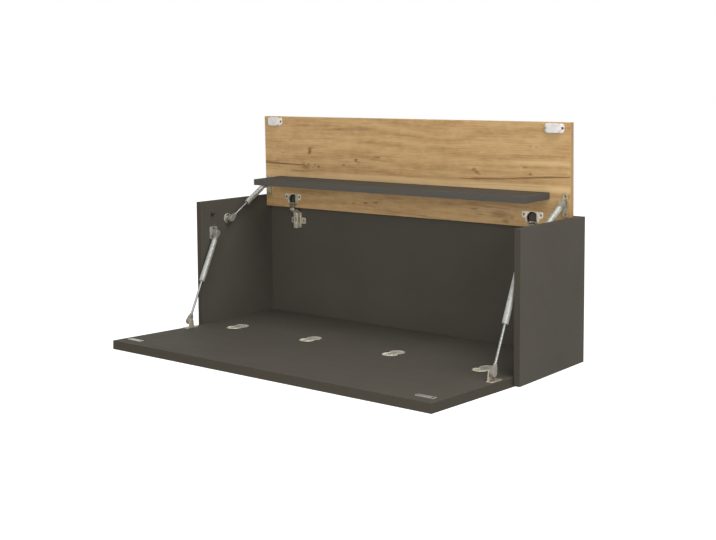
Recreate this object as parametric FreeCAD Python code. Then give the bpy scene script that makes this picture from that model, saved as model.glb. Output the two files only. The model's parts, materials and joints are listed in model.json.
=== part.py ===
"""Wall-hung fold-down desk.

A shallow carcass of 16 mm board hangs on a wall. Its front is a flap that folds down on four
flush hinges and becomes the writing surface. Its top is a lid with a narrow shelf that turns up
on two concealed hinges. Four gas struts carry the flap and the lid.

Frame, in millimetres: X runs along the desk with 0 at mid-width, Y = 0 is the wall plane and the
desk lies at negative Y, Z points up with 0 on the line of the two wall hanger holes. The flap and
the lid are drawn shut, where their sizes are easy to read, and are then turned open.
"""
import FreeCAD, Part
import math
import os

Vector = FreeCAD.Vector

# ---- Carcass -------------------------------------------------------------------------------
WIDTH = 1000.0                # over the side panels
HEIGHT = 348.0                # of the side panels
DEPTH = 295.0                 # front edge of the side panels to the wall
BOARD = 16.0                  # sides, bottom, back, lid and shelf
BOTTOM_RECESS = 1.5           # underside of the bottom board above the ends of the sides
EDGE_ROUND = 0.8              # rounding of the edge bands
HANGER_HEIGHT = 300.0         # hanger holes above the lower ends of the sides

# ---- Flap ----------------------------------------------------------------------------------
FLAP_THICK = 22.0
FLAP_SIDE_GAP = 2.0
FLAP_LOWER_GAP = 1.5
FLAP_UPPER_GAP = 2.0
FLAP_AXIS_UP = 14.5           # hinge axis above the lower edge of the shut flap
FLAP_AXIS_IN = 2.3            # hinge axis inside the inner face
FLAP_OPENING = 88.0           # degrees from shut to open
FLAP_SWING_GAP = 0.8          # between the turning edge and the bottom board

# ---- Lid and shelf -------------------------------------------------------------------------
LID_DROP = 14.0               # top of the shut lid below the tops of the sides
LID_SIDE_GAP = 2.0
LID_FRONT_GAP = 0.7           # to the inner face of the shut flap
LID_REAR_GAP = 4.0            # to the back board
LID_AXIS_EDGE = 9.5           # hinge axis in front of the rear edge of the shut lid
LID_AXIS_IN = 9.5             # hinge axis inside the lower face of the shut lid
LID_OPENING = 89.0            # degrees from shut to open
SHELF_END_GAP = 57.0          # ends of the shelf to the inner faces of the sides
SHELF_DEPTH = 108.5
SHELF_FROM_REAR = 70.3        # rear edge of the shut lid to the shelf

# ---- Board joints --------------------------------------------------------------------------
CAM_RADIUS = 7.5
CAM_DEPTH = 12.5
CAM_SLOT = 4.0                # drive recess in the cam's face
CAM_SETBACK = 24.0            # cam centre from the joined face
CAM_INSET = 45.0              # from the ends of a joint
CAM_BOLT_HEAD_RADIUS = 3.2
CAM_BOLT_SHANK_RADIUS = 2.6
CAM_THREAD_RADIUS = 2.5
CAM_THREAD_DEPTH = 10.0
DOWEL_RADIUS = 4.0
DOWEL_DEPTH = 11.0            # in the faced board
DOWEL_END_DEPTH = 20.0        # in the end of the other board
FIT_GAP = 0.05                # round fittings let into a board
BACK_DOWEL_X = 300.0          # outer dowels between bottom and back
SHELF_DOWEL_X = 214.0         # outer dowels between shelf and lid

# ---- Wall hanger plates --------------------------------------------------------------------
HANGER_SPACING = 700.0
HANGER_WIDTH = 34.0
HANGER_LENGTH = 62.0
HANGER_THICK = 2.0
HANGER_CORNER = 5.0
HANGER_RISE = 12.0            # from the entry hole to the top of the slot
KEYHOLE_RADIUS = 5.0
KEYHOLE_SLOT_RADIUS = 2.8
KEYHOLE_POCKET_RADIUS = 7.0
KEYHOLE_POCKET_DEPTH = 9.0
HANGER_SCREW_REACH = 24.0     # screws above and below the middle of the plate

# ---- Fitting screws (countersunk, 3.5 mm) ---------------------------------------------------
SCREW_RADIUS = 1.6
SCREW_LENGTH = 12.0
SCREW_HEAD_RADIUS = 3.3
SCREW_HEAD_DEPTH = 1.7

# ---- Lid rest pegs -------------------------------------------------------------------------
PEG_RADIUS = 4.0
PEG_REACH = 8.0
PEG_BEVEL = 1.0
PEG_SHANK_RADIUS = 2.5
PEG_SHANK_DEPTH = 9.0
PEG_FROM_FRONT = 40.4
REST_GAP = 0.2                # between a rest peg and the shut lid

# ---- Flush flap hinges ---------------------------------------------------------------------
FLAP_HINGE_FROM_SIDE = 98.0   # outer hinges to the inner faces of the sides
FLAP_HINGE_INNER_X = 131.0
HALF_RADIUS = 17.5            # let-in body of either half
HALF_RIM_RADIUS = 19.5
HALF_RIM_THICK = 0.9
HALF_RIM_LAND = 1.8           # flat ring between the rim's bevel and the dished face
HALF_DISH = 0.4               # dished face below the rim
HALF_EDGE_GAP = 0.6           # both halves end this far before the edge of their board
FLAP_HALF_DEPTH = 9.0
BASE_HALF_DEPTH = 8.0
BASE_HALF_SETBACK = 13.0      # middle of the fixed half behind the edge of the bottom board
HALF_SCREW_X = 10.8
HALF_SCREW_BACK = 6.2         # screws beyond the middle of a half, away from the pin
HALF_SCREW_SINK = 1.6         # screw heads below the face of the board
FLAP_PIN_RADIUS = 1.5
FLAP_PIN_HOLD = 2.4           # pin in the flap's half, each side of the notch
TONGUE_HALF_WIDTH = 7.6
TONGUE_THICK = 3.0
KNUCKLE_RADIUS = 2.9
RUNNING_GAP = 0.06            # radial, pins and rods in their bores
LUG_GAP = 0.3                 # a turning tongue to what holds its pin, at each side
NOTCH_GAP = 0.4               # knuckle to the notch that it turns in

# ---- Concealed lid hinges ------------------------------------------------------------------
LID_HINGE_FROM_SIDE = 103.0   # middle of a hinge to the inner face of the side board
LID_CUP_RADIUS = 17.5
LID_CUP_WALL = 0.6
LID_CUP_DEPTH = 12.5
LID_CUP_EDGE = 3.0            # wood between cup and rear edge
CUP_WING_WIDTH = 58.0
CUP_WING_HEIGHT = 16.0
CUP_WING_CORNER = 3.5
CUP_WING_OFFSET = 9.5         # wing screws beyond the cup centre
CUP_WING_SCREW_X = 23.5
CUP_FLANGE_THICK = 1.2
CUP_FLANGE_LAP = 1.6          # flange round the cup
CUP_BACK_CLIP = 2.0           # flange ends this far before the rear edge of the lid
LID_PIN_RADIUS = 1.25
CUP_LUG_WIDTH = 1.6
CUP_LUG_HALF_DEPTH = 2.6
ARM_HALF_WIDTH = 7.2
ARM_SHEET = 2.0
ARM_KNUCKLE_RADIUS = 2.1
ARM_CRANK = 15.6              # front of the crank before the hinge axis
ARM_CRANK_DROP = 16.0         # hinge axis to the step back of the arm
ARM_STEP = 10.0               # height of the sloping step
ARM_NECK = 14.0               # depth of the side walls at their upper end
ARM_SHOULDER_DROP = 34.0      # hinge axis to where the side walls reach the plate
ARM_SHOULDER_BULGE = 3.5      # roundness of the shoulder between the two
ARM_BEND = 3.0
ARM_FOOT_HALF_WIDTH = 9.5
ARM_FRONT = 14.5              # front of the straight part before the back board
ARM_LENGTH = 68.0             # hinge axis to the lower end of the arm
ARM_SWING_GAP = 0.8           # between the turning edge of the lid and the arm
PLATE_THICK = 2.0
PLATE_WING_WIDTH = 52.0
PLATE_WING_HEIGHT = 17.0
PLATE_WING_DROP = 47.5        # hinge axis to the wing screws
PLATE_SCREW_X = 19.5
PLATE_WING_CORNER = 4.0
PLATE_SPINE_LENGTH = 46.0
PLATE_SPINE_CORNER = 3.0
ARM_SCREW_RADIUS = 2.4
ARM_SCREW_HEAD_RADIUS = 4.0
ARM_SCREW_HEAD = 1.8
ARM_SCREW_CROWN_RADIUS = 3.2
ARM_SCREW_EDGE = 0.6           # upright part of the head
ARM_SCREW_DEPTH = 7.0
ARM_SCREW_DROP = 56.0         # hinge axis to the clamping screw
CROSS_LENGTH = 4.4            # cross recess of the clamping screw
CROSS_WIDTH = 0.9
CROSS_DEPTH = 1.2

# ---- Gas struts ----------------------------------------------------------------------------
STRUT_FROM_SIDE = 14.0        # strut axis to the inner face of the side board
BALL_RADIUS = 5.0
BALL_GAP = 0.09               # radial, balls in their sockets
STUD_RADIUS = 3.0
TUBE_RADIUS = 7.5
TUBE_WALL = 1.2
TUBE_LIP = 1.0                # rolled mouth of the tube
CRIMP_DEPTH = 0.5             # groove rolled into the tube round the rod guide
CRIMP_WIDTH = 2.0
ROD_RADIUS = 3.0
PISTON_LENGTH = 5.0
PISTON_GAP = 0.08
PISTON_STOP_GAP = 0.3         # piston to the rod guide with the strut at full length
GUIDE_LENGTH = 6.0
SOCKET_RADIUS = 8.6
SOCKET_HALF_WIDTH = 6.0
SOCKET_BEVEL = 1.4
SOCKET_MOUTH_RADIUS = 4.0
TUBE_NECK_RADIUS = 6.2
ROD_NECK_RADIUS = 4.6
NECK_LENGTH = 5.0             # round stretch at the end of a socket
TUBE_SOCKET_LENGTH = 18.0     # ball centre to the closed end of the tube
ROD_SOCKET_LENGTH = 21.0      # ball centre to the start of the bare rod
ROD_THREAD_RADIUS = 2.4
ROD_THREAD_LENGTH = 12.0
FLAP_TUBE_LENGTH = 118.0
LID_TUBE_LENGTH = 71.0
FOOT_RADIUS = 6.5
FOOT_THICK = 1.6
FOOT_GAP = 0.3                # stud foot to its side plate

# ---- Strut plates and brackets -------------------------------------------------------------
FLAP_STRUT_TOP_Y = 45.0       # from the front edge of the sides
FLAP_STRUT_TOP_DROP = 86.0    # below the tops of the sides
LID_STRUT_Y = 100.0
LID_STRUT_DROP = 52.0
FLAP_BRACKET_UP = 97.0        # ball above the lower edge of the shut flap
FLAP_BALL_HEIGHT = 18.0       # ball off the inner face of the flap
LID_BRACKET_FROM_REAR = 63.0
LID_BALL_HEIGHT = 16.0
SIDE_PLATE_THICK = 2.6
ROUND_PLATE_RADIUS = 14.0
ROUND_PLATE_SCREW = 9.5
SQUARE_PLATE_WIDTH = 28.0
SQUARE_PLATE_HEIGHT = 34.0
SQUARE_PLATE_CORNER = 5.0
SQUARE_PLATE_SCREW = 12.0
PLATE_RIM = 0.8
BRACKET_THICK = 2.2
EAR_GAP = 0.6                 # upright ear to the socket beside it
EAR_RADIUS = 7.0
BRACKET_SHIFT = 5.0           # middle of the foot nearer to the hinge than the ball
FLAP_BRACKET_LENGTH = 42.0
FLAP_BRACKET_WIDTH = 17.0
LID_BRACKET_LENGTH = 56.0
LID_BRACKET_WIDTH = 15.5
BRACKET_SCREW_END = 6.5       # screw to the end of the bracket
BRACKET_CORNER = 2.5

# ---- Magnetic catches ----------------------------------------------------------------------
CATCH_WIDTH = 51.0
CATCH_DEPTH = 22.0
CATCH_HEIGHT = 12.0
CATCH_FROM_EDGE = 15.5        # to the side edge of the lid
CATCH_CORNER = 6.0
CATCH_REAR_ROUND = 8.0        # upright rear corners of the moulded body
CATCH_BODY_ROUND = 1.5
CATCH_EAR_WIDTH = 7.5
CATCH_EAR_THICK = 3.0
CATCH_RECESS = 1.2            # housing behind the faces of the pole plates
MAGNET_WIDTH = 24.0
MAGNET_HEIGHT = 7.0
MAGNET_DEPTH = 14.0
STRIKE_LENGTH = 47.0
STRIKE_WIDTH = 15.0
STRIKE_THICK = 1.5
STRIKE_CORNER = 2.0
STRIKE_SCREW_X = 17.0
STRIKE_DROP = 10.0            # middle of the strip below the shut lid
CATCH_GAP = 0.3               # least gap between a magnet and the strip as the lid swings by

# ---- Levels and places worked out from the sizes ---------------------------------------------
Z_BASE = -HANGER_HEIGHT
Z_TOP = Z_BASE + HEIGHT
Y_FRONT = -DEPTH
SIDE_IN = WIDTH / 2 - BOARD
BOTTOM_Z = Z_BASE + BOTTOM_RECESS
BOTTOM_TOP = BOTTOM_Z + BOARD
BACK_FACE = -BOARD

FLAP_INNER = Y_FRONT + FLAP_THICK
FLAP_LOW = Z_BASE + FLAP_LOWER_GAP
FLAP_HIGH = Z_TOP - FLAP_UPPER_GAP
FLAP_HALF = SIDE_IN - FLAP_SIDE_GAP
FLAP_AXIS = Vector(0, FLAP_INNER - FLAP_AXIS_IN, FLAP_LOW + FLAP_AXIS_UP)
BOTTOM_FRONT = FLAP_AXIS.y + math.hypot(FLAP_AXIS_UP, FLAP_AXIS_IN) + FLAP_SWING_GAP

LID_HIGH = Z_TOP - LID_DROP
LID_LOW = LID_HIGH - BOARD
LID_FRONT = FLAP_INNER + LID_FRONT_GAP
LID_REAR = BACK_FACE - LID_REAR_GAP
LID_HALF = SIDE_IN - LID_SIDE_GAP
LID_AXIS = Vector(0, LID_REAR - LID_AXIS_EDGE, LID_LOW + LID_AXIS_IN)
SHELF_REAR = LID_REAR - SHELF_FROM_REAR
SHELF_HALF = SIDE_IN - SHELF_END_GAP
LID_HINGE_X = SIDE_IN - LID_HINGE_FROM_SIDE

STRUT_X = SIDE_IN - STRUT_FROM_SIDE
PLATE_FACE_X = SIDE_IN - SIDE_PLATE_THICK
FLAP_STRUT_TOP = Vector(STRUT_X, Y_FRONT + FLAP_STRUT_TOP_Y, Z_TOP - FLAP_STRUT_TOP_DROP)
LID_STRUT_LOW = Vector(STRUT_X, Y_FRONT + LID_STRUT_Y, Z_TOP - LID_STRUT_DROP)
FLAP_BALL_SHUT = Vector(STRUT_X, FLAP_INNER + FLAP_BALL_HEIGHT, FLAP_LOW + FLAP_BRACKET_UP)
LID_BALL_SHUT = Vector(STRUT_X, LID_REAR - LID_BRACKET_FROM_REAR, LID_LOW - LID_BALL_HEIGHT)

X_AXIS = Vector(1, 0, 0)
Y_AXIS = Vector(0, 1, 0)
Z_AXIS = Vector(0, 0, 1)
ORIGIN = Vector(0, 0, 0)
OVERRUN = 1.0                 # cutting shapes run this far past what they cut


# ---- Drawing helpers -------------------------------------------------------------------------
def block(x0, x1, y0, y1, z0, z1):
    """A box between two corners."""
    return Part.makeBox(x1 - x0, y1 - y0, z1 - z0, Vector(x0, y0, z0))


def centred_block(centre, wide, deep, high):
    """A box about its centre."""
    corner = centre - Vector(wide / 2, deep / 2, high / 2)
    return Part.makeBox(wide, deep, high, corner)


def cylinder(radius, start, direction, length):
    return Part.makeCylinder(radius, length, start, direction)


def prism(outline, direction):
    """Extrude a closed outline of points along a vector."""
    wire = Part.makePolygon(list(outline) + [outline[0]])
    return Part.Face(wire).extrude(direction)


def turned(profile, start, direction):
    """Turn a (radius, height) outline about an axis through start."""
    points = [Vector(radius, 0, height) for radius, height in profile]
    solid = Part.Face(Part.makePolygon(points + [points[0]])).revolve(ORIGIN, Z_AXIS, 360)
    solid.Placement = FreeCAD.Placement(start, FreeCAD.Rotation(Z_AXIS, direction))
    return solid


def turned_ball(radius, neck_radius, beyond, centre, direction):
    """A ball with a neck along direction; beyond is the (radius, height) outline past the ball."""
    leave = Vector(neck_radius, 0, math.sqrt(radius ** 2 - neck_radius ** 2))
    bulb = Part.Arc(Vector(0, 0, -radius), Vector(radius, 0, 0), leave).toShape()
    points = [leave] + [Vector(across, 0, height) for across, height in beyond] + [Vector(0, 0, -radius)]
    outline = Part.Wire([bulb] + Part.makePolygon(points).Edges)
    solid = Part.Face(outline).revolve(ORIGIN, Z_AXIS, 360)
    solid.Placement = FreeCAD.Placement(centre, FreeCAD.Rotation(Z_AXIS, direction))
    return solid


def slot_prism(radius, start, travel, direction):
    """A round-ended slot: two cylinders and the block between them."""
    width_way = travel.cross(direction)
    width_way.normalize()
    depth = direction.Length
    side = width_way * radius
    ends = [cylinder(radius, start, direction, depth), cylinder(radius, start + travel, direction, depth)]
    outline = [start - side, start + side, start + travel + side, start + travel - side]
    return prism(outline, direction).fuse(ends).removeSplitter()


def rounded_plate(centre, wide, high, thick, corner, normal, up):
    """A plate with round corners whose rear face is centred on a point."""
    across = up.cross(normal)
    edges = []
    corners = []
    for side_x, side_z in ((-1, -1), (1, -1), (1, 1), (-1, 1)):
        hub = centre + across * (side_x * (wide / 2 - corner)) + up * (side_z * (high / 2 - corner))
        first = hub + across * (side_x * corner)
        last = hub + up * (side_z * corner)
        middle = hub + (across * side_x + up * side_z) * (corner / math.sqrt(2))
        if side_x * side_z < 0:
            first, last = last, first
        corners.append((first, middle, last))
    for index, (first, middle, last) in enumerate(corners):
        edges.append(Part.Arc(first, middle, last).toShape())
        edges.append(Part.LineSegment(last, corners[(index + 1) % 4][0]).toShape())
    return Part.Face(Part.Wire(edges)).extrude(normal * thick)


def mirrored(shape):
    """The same piece on the other side of the desk."""
    return shape.mirror(ORIGIN, X_AXIS)


def both_sides(shape):
    return [shape, mirrored(shape)]


def cut_all(shape, tools):
    return shape.cut(tools).removeSplitter()


def turned_open(shape, axis, degrees):
    """Turn a piece drawn shut about a hinge axis along X."""
    piece = shape.copy()
    piece.rotate(axis, X_AXIS, degrees)
    return piece


def flap_open(shape):
    return turned_open(shape, FLAP_AXIS, FLAP_OPENING)


def lid_open(shape):
    return turned_open(shape, LID_AXIS, -LID_OPENING)


def opened_point(point, axis, degrees):
    """Where a point of the shut flap or lid lies once it is open."""
    turn = FreeCAD.Rotation(X_AXIS, degrees)
    centre = Vector(point.x, axis.y, axis.z)
    return centre + turn.multVec(point - centre)


def round_edges(board, keep=None):
    """Round the edges of a board, or only those that keep picks."""
    edges = [edge for edge in board.Edges if keep is None or keep(edge.CenterOfMass)]
    return board.makeFillet(EDGE_ROUND, edges)


# ---- Screws ----------------------------------------------------------------------------------
def screw(head_centre, inward):
    """A countersunk screw with its flat head at a point, driven along inward."""
    return turned([(0, 0), (SCREW_HEAD_RADIUS, 0), (SCREW_RADIUS, SCREW_HEAD_DEPTH),
                   (SCREW_RADIUS, SCREW_LENGTH - SCREW_RADIUS), (0, SCREW_LENGTH)], head_centre, inward)


def screw_hole(head_centre, inward):
    """The countersunk hole of a screw."""
    gap = FIT_GAP
    return turned([(0, 0), (SCREW_HEAD_RADIUS + gap, 0), (SCREW_RADIUS + gap, SCREW_HEAD_DEPTH),
                   (SCREW_RADIUS + gap, SCREW_LENGTH + gap), (0, SCREW_LENGTH + gap)],
                  head_centre, inward)


def hanger_screw_spots():
    middle = HANGER_RISE / 2
    return [(Vector(side * HANGER_SPACING / 2, 0, middle + reach), -Y_AXIS)
            for side in (-1, 1) for reach in (-HANGER_SCREW_REACH, HANGER_SCREW_REACH)]


def base_half_screw_spots():
    head_y = BOTTOM_FRONT + BASE_HALF_SETBACK + HALF_SCREW_BACK
    return [(Vector(x + reach, head_y, BOTTOM_TOP - HALF_SCREW_SINK), -Z_AXIS)
            for x in flap_hinge_places() for reach in (-HALF_SCREW_X, HALF_SCREW_X)]


def flap_half_screw_spots():
    head_z = FLAP_AXIS.z + HALF_SCREW_BACK
    return [(Vector(x + reach, FLAP_INNER - HALF_SCREW_SINK, head_z), -Y_AXIS)
            for x in flap_hinge_places() for reach in (-HALF_SCREW_X, HALF_SCREW_X)]


def mounting_plate_screw_spots():
    spots = []
    for side in (-1, 1):
        for reach in (-PLATE_SCREW_X, PLATE_SCREW_X):
            head = Vector(side * LID_HINGE_X + reach, BACK_FACE - PLATE_THICK, LID_AXIS.z - PLATE_WING_DROP)
            spots.append((head, Y_AXIS))
    return spots


def side_plate_screw_spots():
    spots = []
    for side in (-1, 1):
        for ball, reach in ((FLAP_STRUT_TOP, SQUARE_PLATE_SCREW), (LID_STRUT_LOW, ROUND_PLATE_SCREW)):
            for way in (-1, 1):
                head = Vector(side * PLATE_FACE_X, ball.y, ball.z + way * reach)
                spots.append((head, X_AXIS * side))
    return spots


def flap_bracket_screw_spots():
    middle = FLAP_BALL_SHUT.z - BRACKET_SHIFT
    return bracket_screw_spots(middle, FLAP_BRACKET_LENGTH, FLAP_BRACKET_WIDTH,
                               lambda x, along: Vector(x, FLAP_INNER + BRACKET_THICK, along), -Y_AXIS)


def strike_screw_spots():
    head_y = FLAP_INNER + STRIKE_THICK
    return [(Vector(side * catch_centre_x() + reach, head_y, strike_centre_z()), -Y_AXIS)
            for side in (-1, 1) for reach in (-STRIKE_SCREW_X, STRIKE_SCREW_X)]


def lid_bracket_screw_spots():
    middle = LID_BALL_SHUT.y + BRACKET_SHIFT
    return bracket_screw_spots(middle, LID_BRACKET_LENGTH, LID_BRACKET_WIDTH,
                               lambda x, along: Vector(x, along, LID_LOW - BRACKET_THICK), Z_AXIS)


def bracket_screw_spots(middle, length, width, place, inward):
    """Two screws on each bracket, near its ends and clear of the ear."""
    x = ear_inner_x() + (width + BRACKET_THICK) / 2
    reach = length / 2 - BRACKET_SCREW_END
    return [(place(side * x, middle + way * reach), inward) for side in (-1, 1) for way in (-1, 1)]


def ear_inner_x():
    """The face of a bracket's ear that looks to the middle of the desk."""
    return STRUT_X - SOCKET_HALF_WIDTH - EAR_GAP - BRACKET_THICK


def cup_wing_screw_spots():
    y = lid_cup_centre_y() - CUP_WING_OFFSET
    return [(Vector(side * LID_HINGE_X + reach, y, LID_LOW - CUP_FLANGE_THICK), Z_AXIS)
            for side in (-1, 1) for reach in (-CUP_WING_SCREW_X, CUP_WING_SCREW_X)]


def catch_screw_spots():
    y = catch_face_y() + CATCH_RECESS + CATCH_DEPTH / 2
    reach = (CATCH_WIDTH - CATCH_EAR_WIDTH) / 2
    return [(Vector(side * catch_centre_x() + way * reach, y, LID_LOW - CATCH_EAR_THICK), Z_AXIS)
            for side in (-1, 1) for way in (-1, 1)]


def carcass_screw_spots():
    return (hanger_screw_spots() + base_half_screw_spots() + mounting_plate_screw_spots()
            + side_plate_screw_spots())


def flap_screw_spots():
    return flap_half_screw_spots() + flap_bracket_screw_spots() + strike_screw_spots()


def lid_screw_spots():
    return lid_bracket_screw_spots() + cup_wing_screw_spots() + catch_screw_spots()


def screws(spots):
    return [screw(head, inward) for head, inward in spots]


def screw_holes(spots):
    return [screw_hole(head, inward) for head, inward in spots]


# ---- Places of repeated fittings ---------------------------------------------------------------
def flap_hinge_places():
    return [side * x for side in (-1, 1) for x in (FLAP_HINGE_INNER_X, SIDE_IN - FLAP_HINGE_FROM_SIDE)]


def lid_cup_centre_y():
    return LID_REAR - LID_CUP_EDGE - LID_CUP_RADIUS


def catch_centre_x():
    return LID_HALF - CATCH_FROM_EDGE - CATCH_WIDTH / 2


def magnet_middle_z():
    return LID_LOW - CATCH_HEIGHT / 2


def catch_face_y():
    """Faces of the pole plates; their lower corner passes the strip at the gap."""
    nearest = FLAP_INNER + STRIKE_THICK + CATCH_GAP
    corner_drop = LID_AXIS.z - magnet_middle_z() + MAGNET_HEIGHT / 2
    return LID_AXIS.y - math.sqrt((LID_AXIS.y - nearest) ** 2 - corner_drop ** 2)


def strike_centre_z():
    return LID_LOW - STRIKE_DROP


def side_joints():
    """Centres of the cam joints on a side board: (y, z, direction from which the cam is bored)."""
    bottom_z = BOTTOM_Z + BOARD / 2
    back_y = -BOARD / 2
    return [(BOTTOM_FRONT + CAM_INSET, bottom_z, -Z_AXIS), (BACK_FACE - CAM_INSET, bottom_z, -Z_AXIS),
            (back_y, BOTTOM_Z + CAM_INSET, Y_AXIS), (back_y, Z_TOP - CAM_INSET, Y_AXIS)]


def side_dowels():
    """Centres of the dowels between a side board and the bottom and back boards."""
    middle_y = (BOTTOM_FRONT + BACK_FACE) / 2
    middle_z = (BOTTOM_Z + Z_TOP) / 2
    return [(middle_y, BOTTOM_Z + BOARD / 2), (-BOARD / 2, middle_z)]


def dowel_shapes(gap=0.0):
    """All dowels of the carcass, or their holes when a gap is given."""
    length = DOWEL_DEPTH + DOWEL_END_DEPTH + 2 * gap
    shapes = []
    for y, z in side_dowels():
        start = Vector(SIDE_IN + DOWEL_DEPTH + gap, y, z)
        shapes += both_sides(cylinder(DOWEL_RADIUS + gap, start, -X_AXIS, length))
    for x in (-BACK_DOWEL_X, 0.0, BACK_DOWEL_X):
        start = Vector(x, BACK_FACE + DOWEL_DEPTH + gap, BOTTOM_Z + BOARD / 2)
        shapes.append(cylinder(DOWEL_RADIUS + gap, start, -Y_AXIS, length))
    return shapes


# ---- Cam fittings ------------------------------------------------------------------------------
def cam_disc(joint, into, bore_way):
    """A cam: joint is the middle of the joint, into points into the bored board."""
    centre = joint + into * CAM_SETBACK
    start = centre + bore_way * (BOARD / 2)
    disc = cylinder(CAM_RADIUS - FIT_GAP, start, -bore_way, CAM_DEPTH)
    bolt_hole = cylinder(CAM_BOLT_HEAD_RADIUS + FIT_GAP, joint, into, CAM_SETBACK + FIT_GAP)
    slot = centred_block(start, CAM_SLOT, CAM_SLOT, CAM_SLOT)
    return disc.cut([bolt_hole, slot])


def cam_bore(joint, into, bore_way):
    centre = joint + into * CAM_SETBACK
    bore = cylinder(CAM_RADIUS, centre + bore_way * (BOARD / 2), -bore_way, CAM_DEPTH + FIT_GAP)
    return bore.fuse(cylinder(CAM_BOLT_HEAD_RADIUS + FIT_GAP, joint, into, CAM_SETBACK))


def cam_bolt(joint, into):
    """Threaded end in the faced board, shank and head in the cam."""
    thread = cylinder(CAM_THREAD_RADIUS, joint, -into, CAM_THREAD_DEPTH)
    shank = cylinder(CAM_BOLT_SHANK_RADIUS, joint, into, CAM_SETBACK)
    head_start = joint + into * (CAM_SETBACK - CAM_BOLT_HEAD_RADIUS)
    head = cylinder(CAM_BOLT_HEAD_RADIUS, head_start, into, CAM_BOLT_HEAD_RADIUS)
    return thread.fuse([shank, head]).removeSplitter()


def cam_bolt_pilot(joint, into):
    return cylinder(CAM_THREAD_RADIUS + FIT_GAP, joint, -into, CAM_THREAD_DEPTH + FIT_GAP)


def carcass_cam_places():
    """(joint, into, bore_way) of every cam joint of the carcass."""
    places = []
    for side in (-1, 1):
        for y, z, bore_way in side_joints():
            places.append((Vector(side * SIDE_IN, y, z), X_AXIS * -side, bore_way))
    return places


def shelf_cam_places():
    """Cam joints between shelf and lid, bored from the rear face of the shelf."""
    z = LID_LOW
    y = SHELF_REAR - BOARD / 2
    reach = SHELF_HALF - CAM_INSET
    return [(Vector(side * reach, y, z), -Z_AXIS, Y_AXIS) for side in (-1, 1)]


def shelf_dowel_shapes(gap=0.0):
    length = DOWEL_DEPTH + DOWEL_END_DEPTH + 2 * gap
    y = SHELF_REAR - BOARD / 2
    start_z = LID_LOW + DOWEL_DEPTH + gap
    return [cylinder(DOWEL_RADIUS + gap, Vector(x, y, start_z), -Z_AXIS, length)
            for x in (-SHELF_DOWEL_X, 0.0, SHELF_DOWEL_X)]


# ---- Boards of the carcass ---------------------------------------------------------------------
def side_panel():
    """The right side board; the left one is its mirror image."""
    board = block(SIDE_IN, WIDTH / 2, Y_FRONT, 0, Z_BASE, Z_TOP)
    board = round_edges(board)
    holes = [cam_bolt_pilot(joint, into) for joint, into, _ in carcass_cam_places() if joint.x > 0]
    holes += [hole for hole in dowel_shapes(FIT_GAP) if hole.BoundBox.XMax > SIDE_IN]
    holes += screw_holes([spot for spot in side_plate_screw_spots() if spot[0].x > 0])
    peg = peg_centre()
    holes.append(cylinder(PEG_SHANK_RADIUS + FIT_GAP, peg, X_AXIS, PEG_SHANK_DEPTH + FIT_GAP))
    return cut_all(board, holes)


def bottom_panel():
    board = block(-SIDE_IN, SIDE_IN, BOTTOM_FRONT, BACK_FACE, BOTTOM_Z, BOTTOM_TOP)
    board = round_edges(board, lambda p: p.y < BOTTOM_FRONT + EDGE_ROUND and abs(p.x) < EDGE_ROUND)
    cuts = [cam_bore(*place) for place in carcass_cam_places() if place[2].z != 0]
    cuts += [hole for hole in dowel_shapes(FIT_GAP) if hole.BoundBox.ZMax < BOTTOM_TOP]
    cuts += [half_bore(base_half_centre(x), Z_AXIS, BASE_HALF_DEPTH) for x in flap_hinge_places()]
    cuts += screw_holes(base_half_screw_spots())
    return cut_all(board, cuts)


def back_panel():
    board = block(-SIDE_IN, SIDE_IN, BACK_FACE, 0, BOTTOM_Z, Z_TOP)
    board = round_edges(board, lambda p: p.z > Z_TOP - EDGE_ROUND and abs(p.x) < EDGE_ROUND)
    cuts = [cam_bore(*place) for place in carcass_cam_places() if place[2].y != 0]
    cuts += [hole for hole in dowel_shapes(FIT_GAP) if hole.BoundBox.YMax > BACK_FACE]
    cuts += screw_holes(mounting_plate_screw_spots() + hanger_screw_spots())
    cuts += [hanger_recess(side) for side in (-1, 1)]
    return cut_all(board, cuts)


def peg_centre():
    """Where the axis of the right rest peg meets the side board."""
    return Vector(SIDE_IN, Y_FRONT + PEG_FROM_FRONT, LID_LOW - REST_GAP - PEG_RADIUS)


def rest_peg():
    """A headed peg that carries a front corner of the shut lid."""
    profile = [(0, -PEG_SHANK_DEPTH), (PEG_SHANK_RADIUS, -PEG_SHANK_DEPTH), (PEG_SHANK_RADIUS, 0),
               (PEG_RADIUS, 0), (PEG_RADIUS, PEG_REACH - PEG_BEVEL), (PEG_RADIUS - PEG_BEVEL, PEG_REACH),
               (0, PEG_REACH)]
    return turned(profile, peg_centre(), -X_AXIS)


# ---- Wall hangers ------------------------------------------------------------------------------
def hanger_centre(side):
    """Middle of a hanger plate on the wall plane; its entry hole is on Z = 0."""
    return Vector(side * HANGER_SPACING / 2, 0, HANGER_RISE / 2)


def hanger_outline(side, gap):
    return rounded_plate(hanger_centre(side), HANGER_WIDTH + 2 * gap, HANGER_LENGTH + 2 * gap,
                         HANGER_THICK, HANGER_CORNER + gap, -Y_AXIS, Z_AXIS)


def hanger_plate(side):
    """A steel plate with a keyhole: entry hole below, narrow slot above it."""
    entry = Vector(side * HANGER_SPACING / 2, 0, 0)
    through = -Y_AXIS * HANGER_THICK
    keyhole = [cylinder(KEYHOLE_RADIUS, entry, -Y_AXIS, HANGER_THICK),
               slot_prism(KEYHOLE_SLOT_RADIUS, entry, Z_AXIS * HANGER_RISE, through)]
    return cut_all(hanger_outline(side, 0.0), keyhole + screw_holes(hanger_screw_spots()))


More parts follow.
